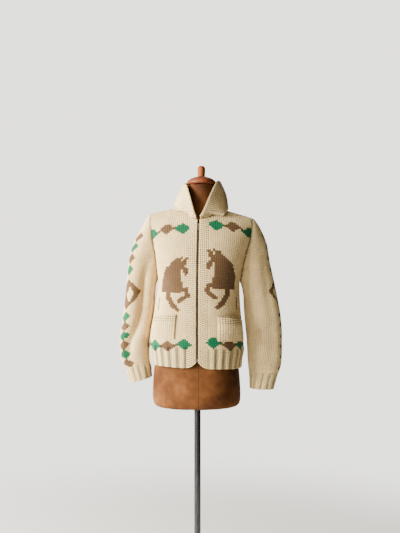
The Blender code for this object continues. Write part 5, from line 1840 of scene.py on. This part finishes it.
# %% [markdown]
# The frame's torso is loose triangles. On a copy, they are welded, joined to quads where they lie nearly
# flat, and subdivided, which rounds the padding.

# %% The torso
WELD = 1e-5
FLAT_ENOUGH = math.radians(40)
SQUARE_ENOUGH = math.radians(80)
TORSO_SHARP = math.radians(35)


def smoothed(node_name, name, levels, material):
    """A copy of a frame node, welded, with its triangles joined to quads and subdivided."""
    data = nodes[node_name].data.copy()
    data.name = name
    piece = bpy.data.objects.new(name, data)
    bpy.context.scene.collection.objects.link(piece)
    mesh = bmesh.new()
    mesh.from_mesh(data)
    bmesh.ops.remove_doubles(mesh, verts=mesh.verts, dist=WELD)
    bmesh.ops.join_triangles(
        mesh, faces=mesh.faces, angle_face_threshold=FLAT_ENOUGH, angle_shape_threshold=SQUARE_ENOUGH)
    mesh.to_mesh(data)
    mesh.free()
    bpy.ops.object.select_all(action="DESELECT")
    piece.select_set(True)
    bpy.context.view_layer.objects.active = piece
    subdivide = piece.modifiers.new("smooth", "SUBSURF")
    subdivide.levels = levels
    subdivide.render_levels = levels
    bpy.ops.object.modifier_apply(modifier="smooth")
    data = piece.data
    data.materials.clear()
    data.materials.append(material)
    data.shade_smooth()
    data.set_sharp_from_angle(angle=TORSO_SHARP)
    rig.ride(piece, "root")
    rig.replaces(piece, node_name)
    print(name, len(data.polygons), "faces")
    return piece


torso = smoothed("form_torso", "form_torso_smooth", 2, canvas)
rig.padded(torso, fill=1.0)
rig.slot(torso, "form_canvas")

# %% [markdown]
# The neck cap and the finial are turned wood, stained and varnished. The pole is a dark steel tube, and the
# round base, which the photo doesn't show, is plain black iron.

# %% Wood, steel and iron
def turned_wood(name, dark, light, coat):
    """Stained and varnished wood, with its grain and with wear in streaks along the piece's axis."""
    material, tree, shader, where = new_material(
        name, light, 0.6, Coat_Weight=coat, Coat_Roughness=0.3, Specular_IOR_Level=0.15)
    grain = node(
        tree, "ShaderNodeTexWave", wave_type="RINGS", rings_direction="X",
        Scale=70.0, Distortion=6.0, Detail=3.0)
    tree.links.new(where, grain.inputs["Vector"])
    streak = noise(tree, where, 90, 4, (6, 6, 1))
    tint = ramp(tree, grain.outputs["Fac"], ((0.1, dark), (0.9, light)))
    worn = ramp(tree, streak, ((0.3, (0.70, 0.66, 0.62)), (0.7, (1.08, 1.06, 1.04))))
    tree.links.new(blended(tree, "MULTIPLY", 0.7, tint, worn), shader.inputs["Base Color"])
    bump(tree, shader, streak, 0.15, 0.0004)
    return material


cap_wood = turned_wood("cap_wood", (0.085, 0.020, 0.010), (0.26, 0.070, 0.024), 0.06)
finial_wood = turned_wood("finial_wood", (0.22, 0.055, 0.010), (0.25, 0.065, 0.009), 0.02)

steel, tree, shader, where = new_material("pole_steel", (0.10, 0.10, 0.11), 0.32, metallic=1.0)
scratch = noise(tree, where, 60, 4, (8, 8, 0.4))
tint = ramp(tree, scratch, ((0.3, (0.04, 0.04, 0.042)), (0.7, (0.10, 0.10, 0.105))))
tree.links.new(tint, shader.inputs["Base Color"])
bump(tree, shader, scratch, 0.08, 0.0003)

iron, tree, shader, where = new_material("base_iron", (0.030, 0.030, 0.032), 0.55, metallic=0.3)
cast = noise(tree, where, 240, 4)
tint = ramp(tree, cast, ((0.3, (0.018, 0.018, 0.019)), (0.7, (0.05, 0.05, 0.052))))
tree.links.new(tint, shader.inputs["Base Color"])
bump(tree, shader, cast, 0.25, 0.0005)

for name, material in (("neck_cap", cap_wood), ("finial", finial_wood), ("pole", steel), ("base", iron)):
    give(name, material)
print("stand finished")

# %% [markdown]
# Every cloth piece rides on the body that holds it, stands for its node, names its slot, and says what flat
# piece it was knitted to.

# %% Riding, slots and flat sizes
Flat = namedtuple("Flat", "width length area held")
FLAT = {
    "back": Flat(0.50, 0.60, 0.265, "draped"),
    "front_left": Flat(0.22, 0.60, 0.110, "draped"),
    "front_right": Flat(0.22, 0.60, 0.110, "draped"),
    "band_left": Flat(0.035, 0.55, None, "draped"),
    "band_right": Flat(0.035, 0.55, None, "draped"),
    "sleeve_left": Flat(0.40, 0.62, 0.17, "draped"),
    "sleeve_right": Flat(0.40, 0.64, 0.18, "draped"),
    "collar": Flat(0.50, 0.16, None, "folded"),
    "pocket_left": Flat(0.115, 0.090, None, "hung"),
    "pocket_right": Flat(0.115, 0.090, None, "hung"),
    "zip_tape_left": Flat(0.0112, 0.48, None, "hung"),
    "zip_tape_right": Flat(0.0112, 0.48, None, "hung"),
}
SLOTS = {
    "back": "cream_knit",
    "front": "cream_knit",
    "sleeve": "cream_knit",
    "band": "band_knit",
    "collar": "collar_knit",
    "pocket": "pocket_knit",
    "zip": "zip_tape",
}
RESTS_ON = {
    "back": ["form_torso"],
    "front_left": ["form_torso"],
    "front_right": ["form_torso"],
    "band_left": ["front_left"],
    "band_right": ["front_right"],
    "sleeve_left": ["front_left", "back"],
    "sleeve_right": ["front_right", "back"],
    "collar": ["back", "front_left", "front_right"],
    "pocket_left": ["front_left"],
    "pocket_right": ["front_right"],
    "zip_tape_left": ["band_left"],
    "zip_tape_right": ["band_right"],
}
for name, pieces in sewn.items():
    for piece in pieces:
        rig.ride(piece, "root")
        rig.replaces(piece, name)
        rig.slot(piece, SLOTS[name.split("_")[0]])
    flat = FLAT[name]
    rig.sheet(
        pieces[0], flat=(flat.width, flat.length), held=flat.held, rests_on=RESTS_ON[name], area=flat.area,
        with_pieces=list(pieces[1:]))
print("cloth pieces:", len(sewn))

# %% Sizes and the end
visual_bounds = [list(corner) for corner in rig.bounds()]
with open("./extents.json", "w") as out_file:
    json.dump({"cad": cad_bounds, "visual": visual_bounds}, out_file)
print("visual box:", visual_bounds)
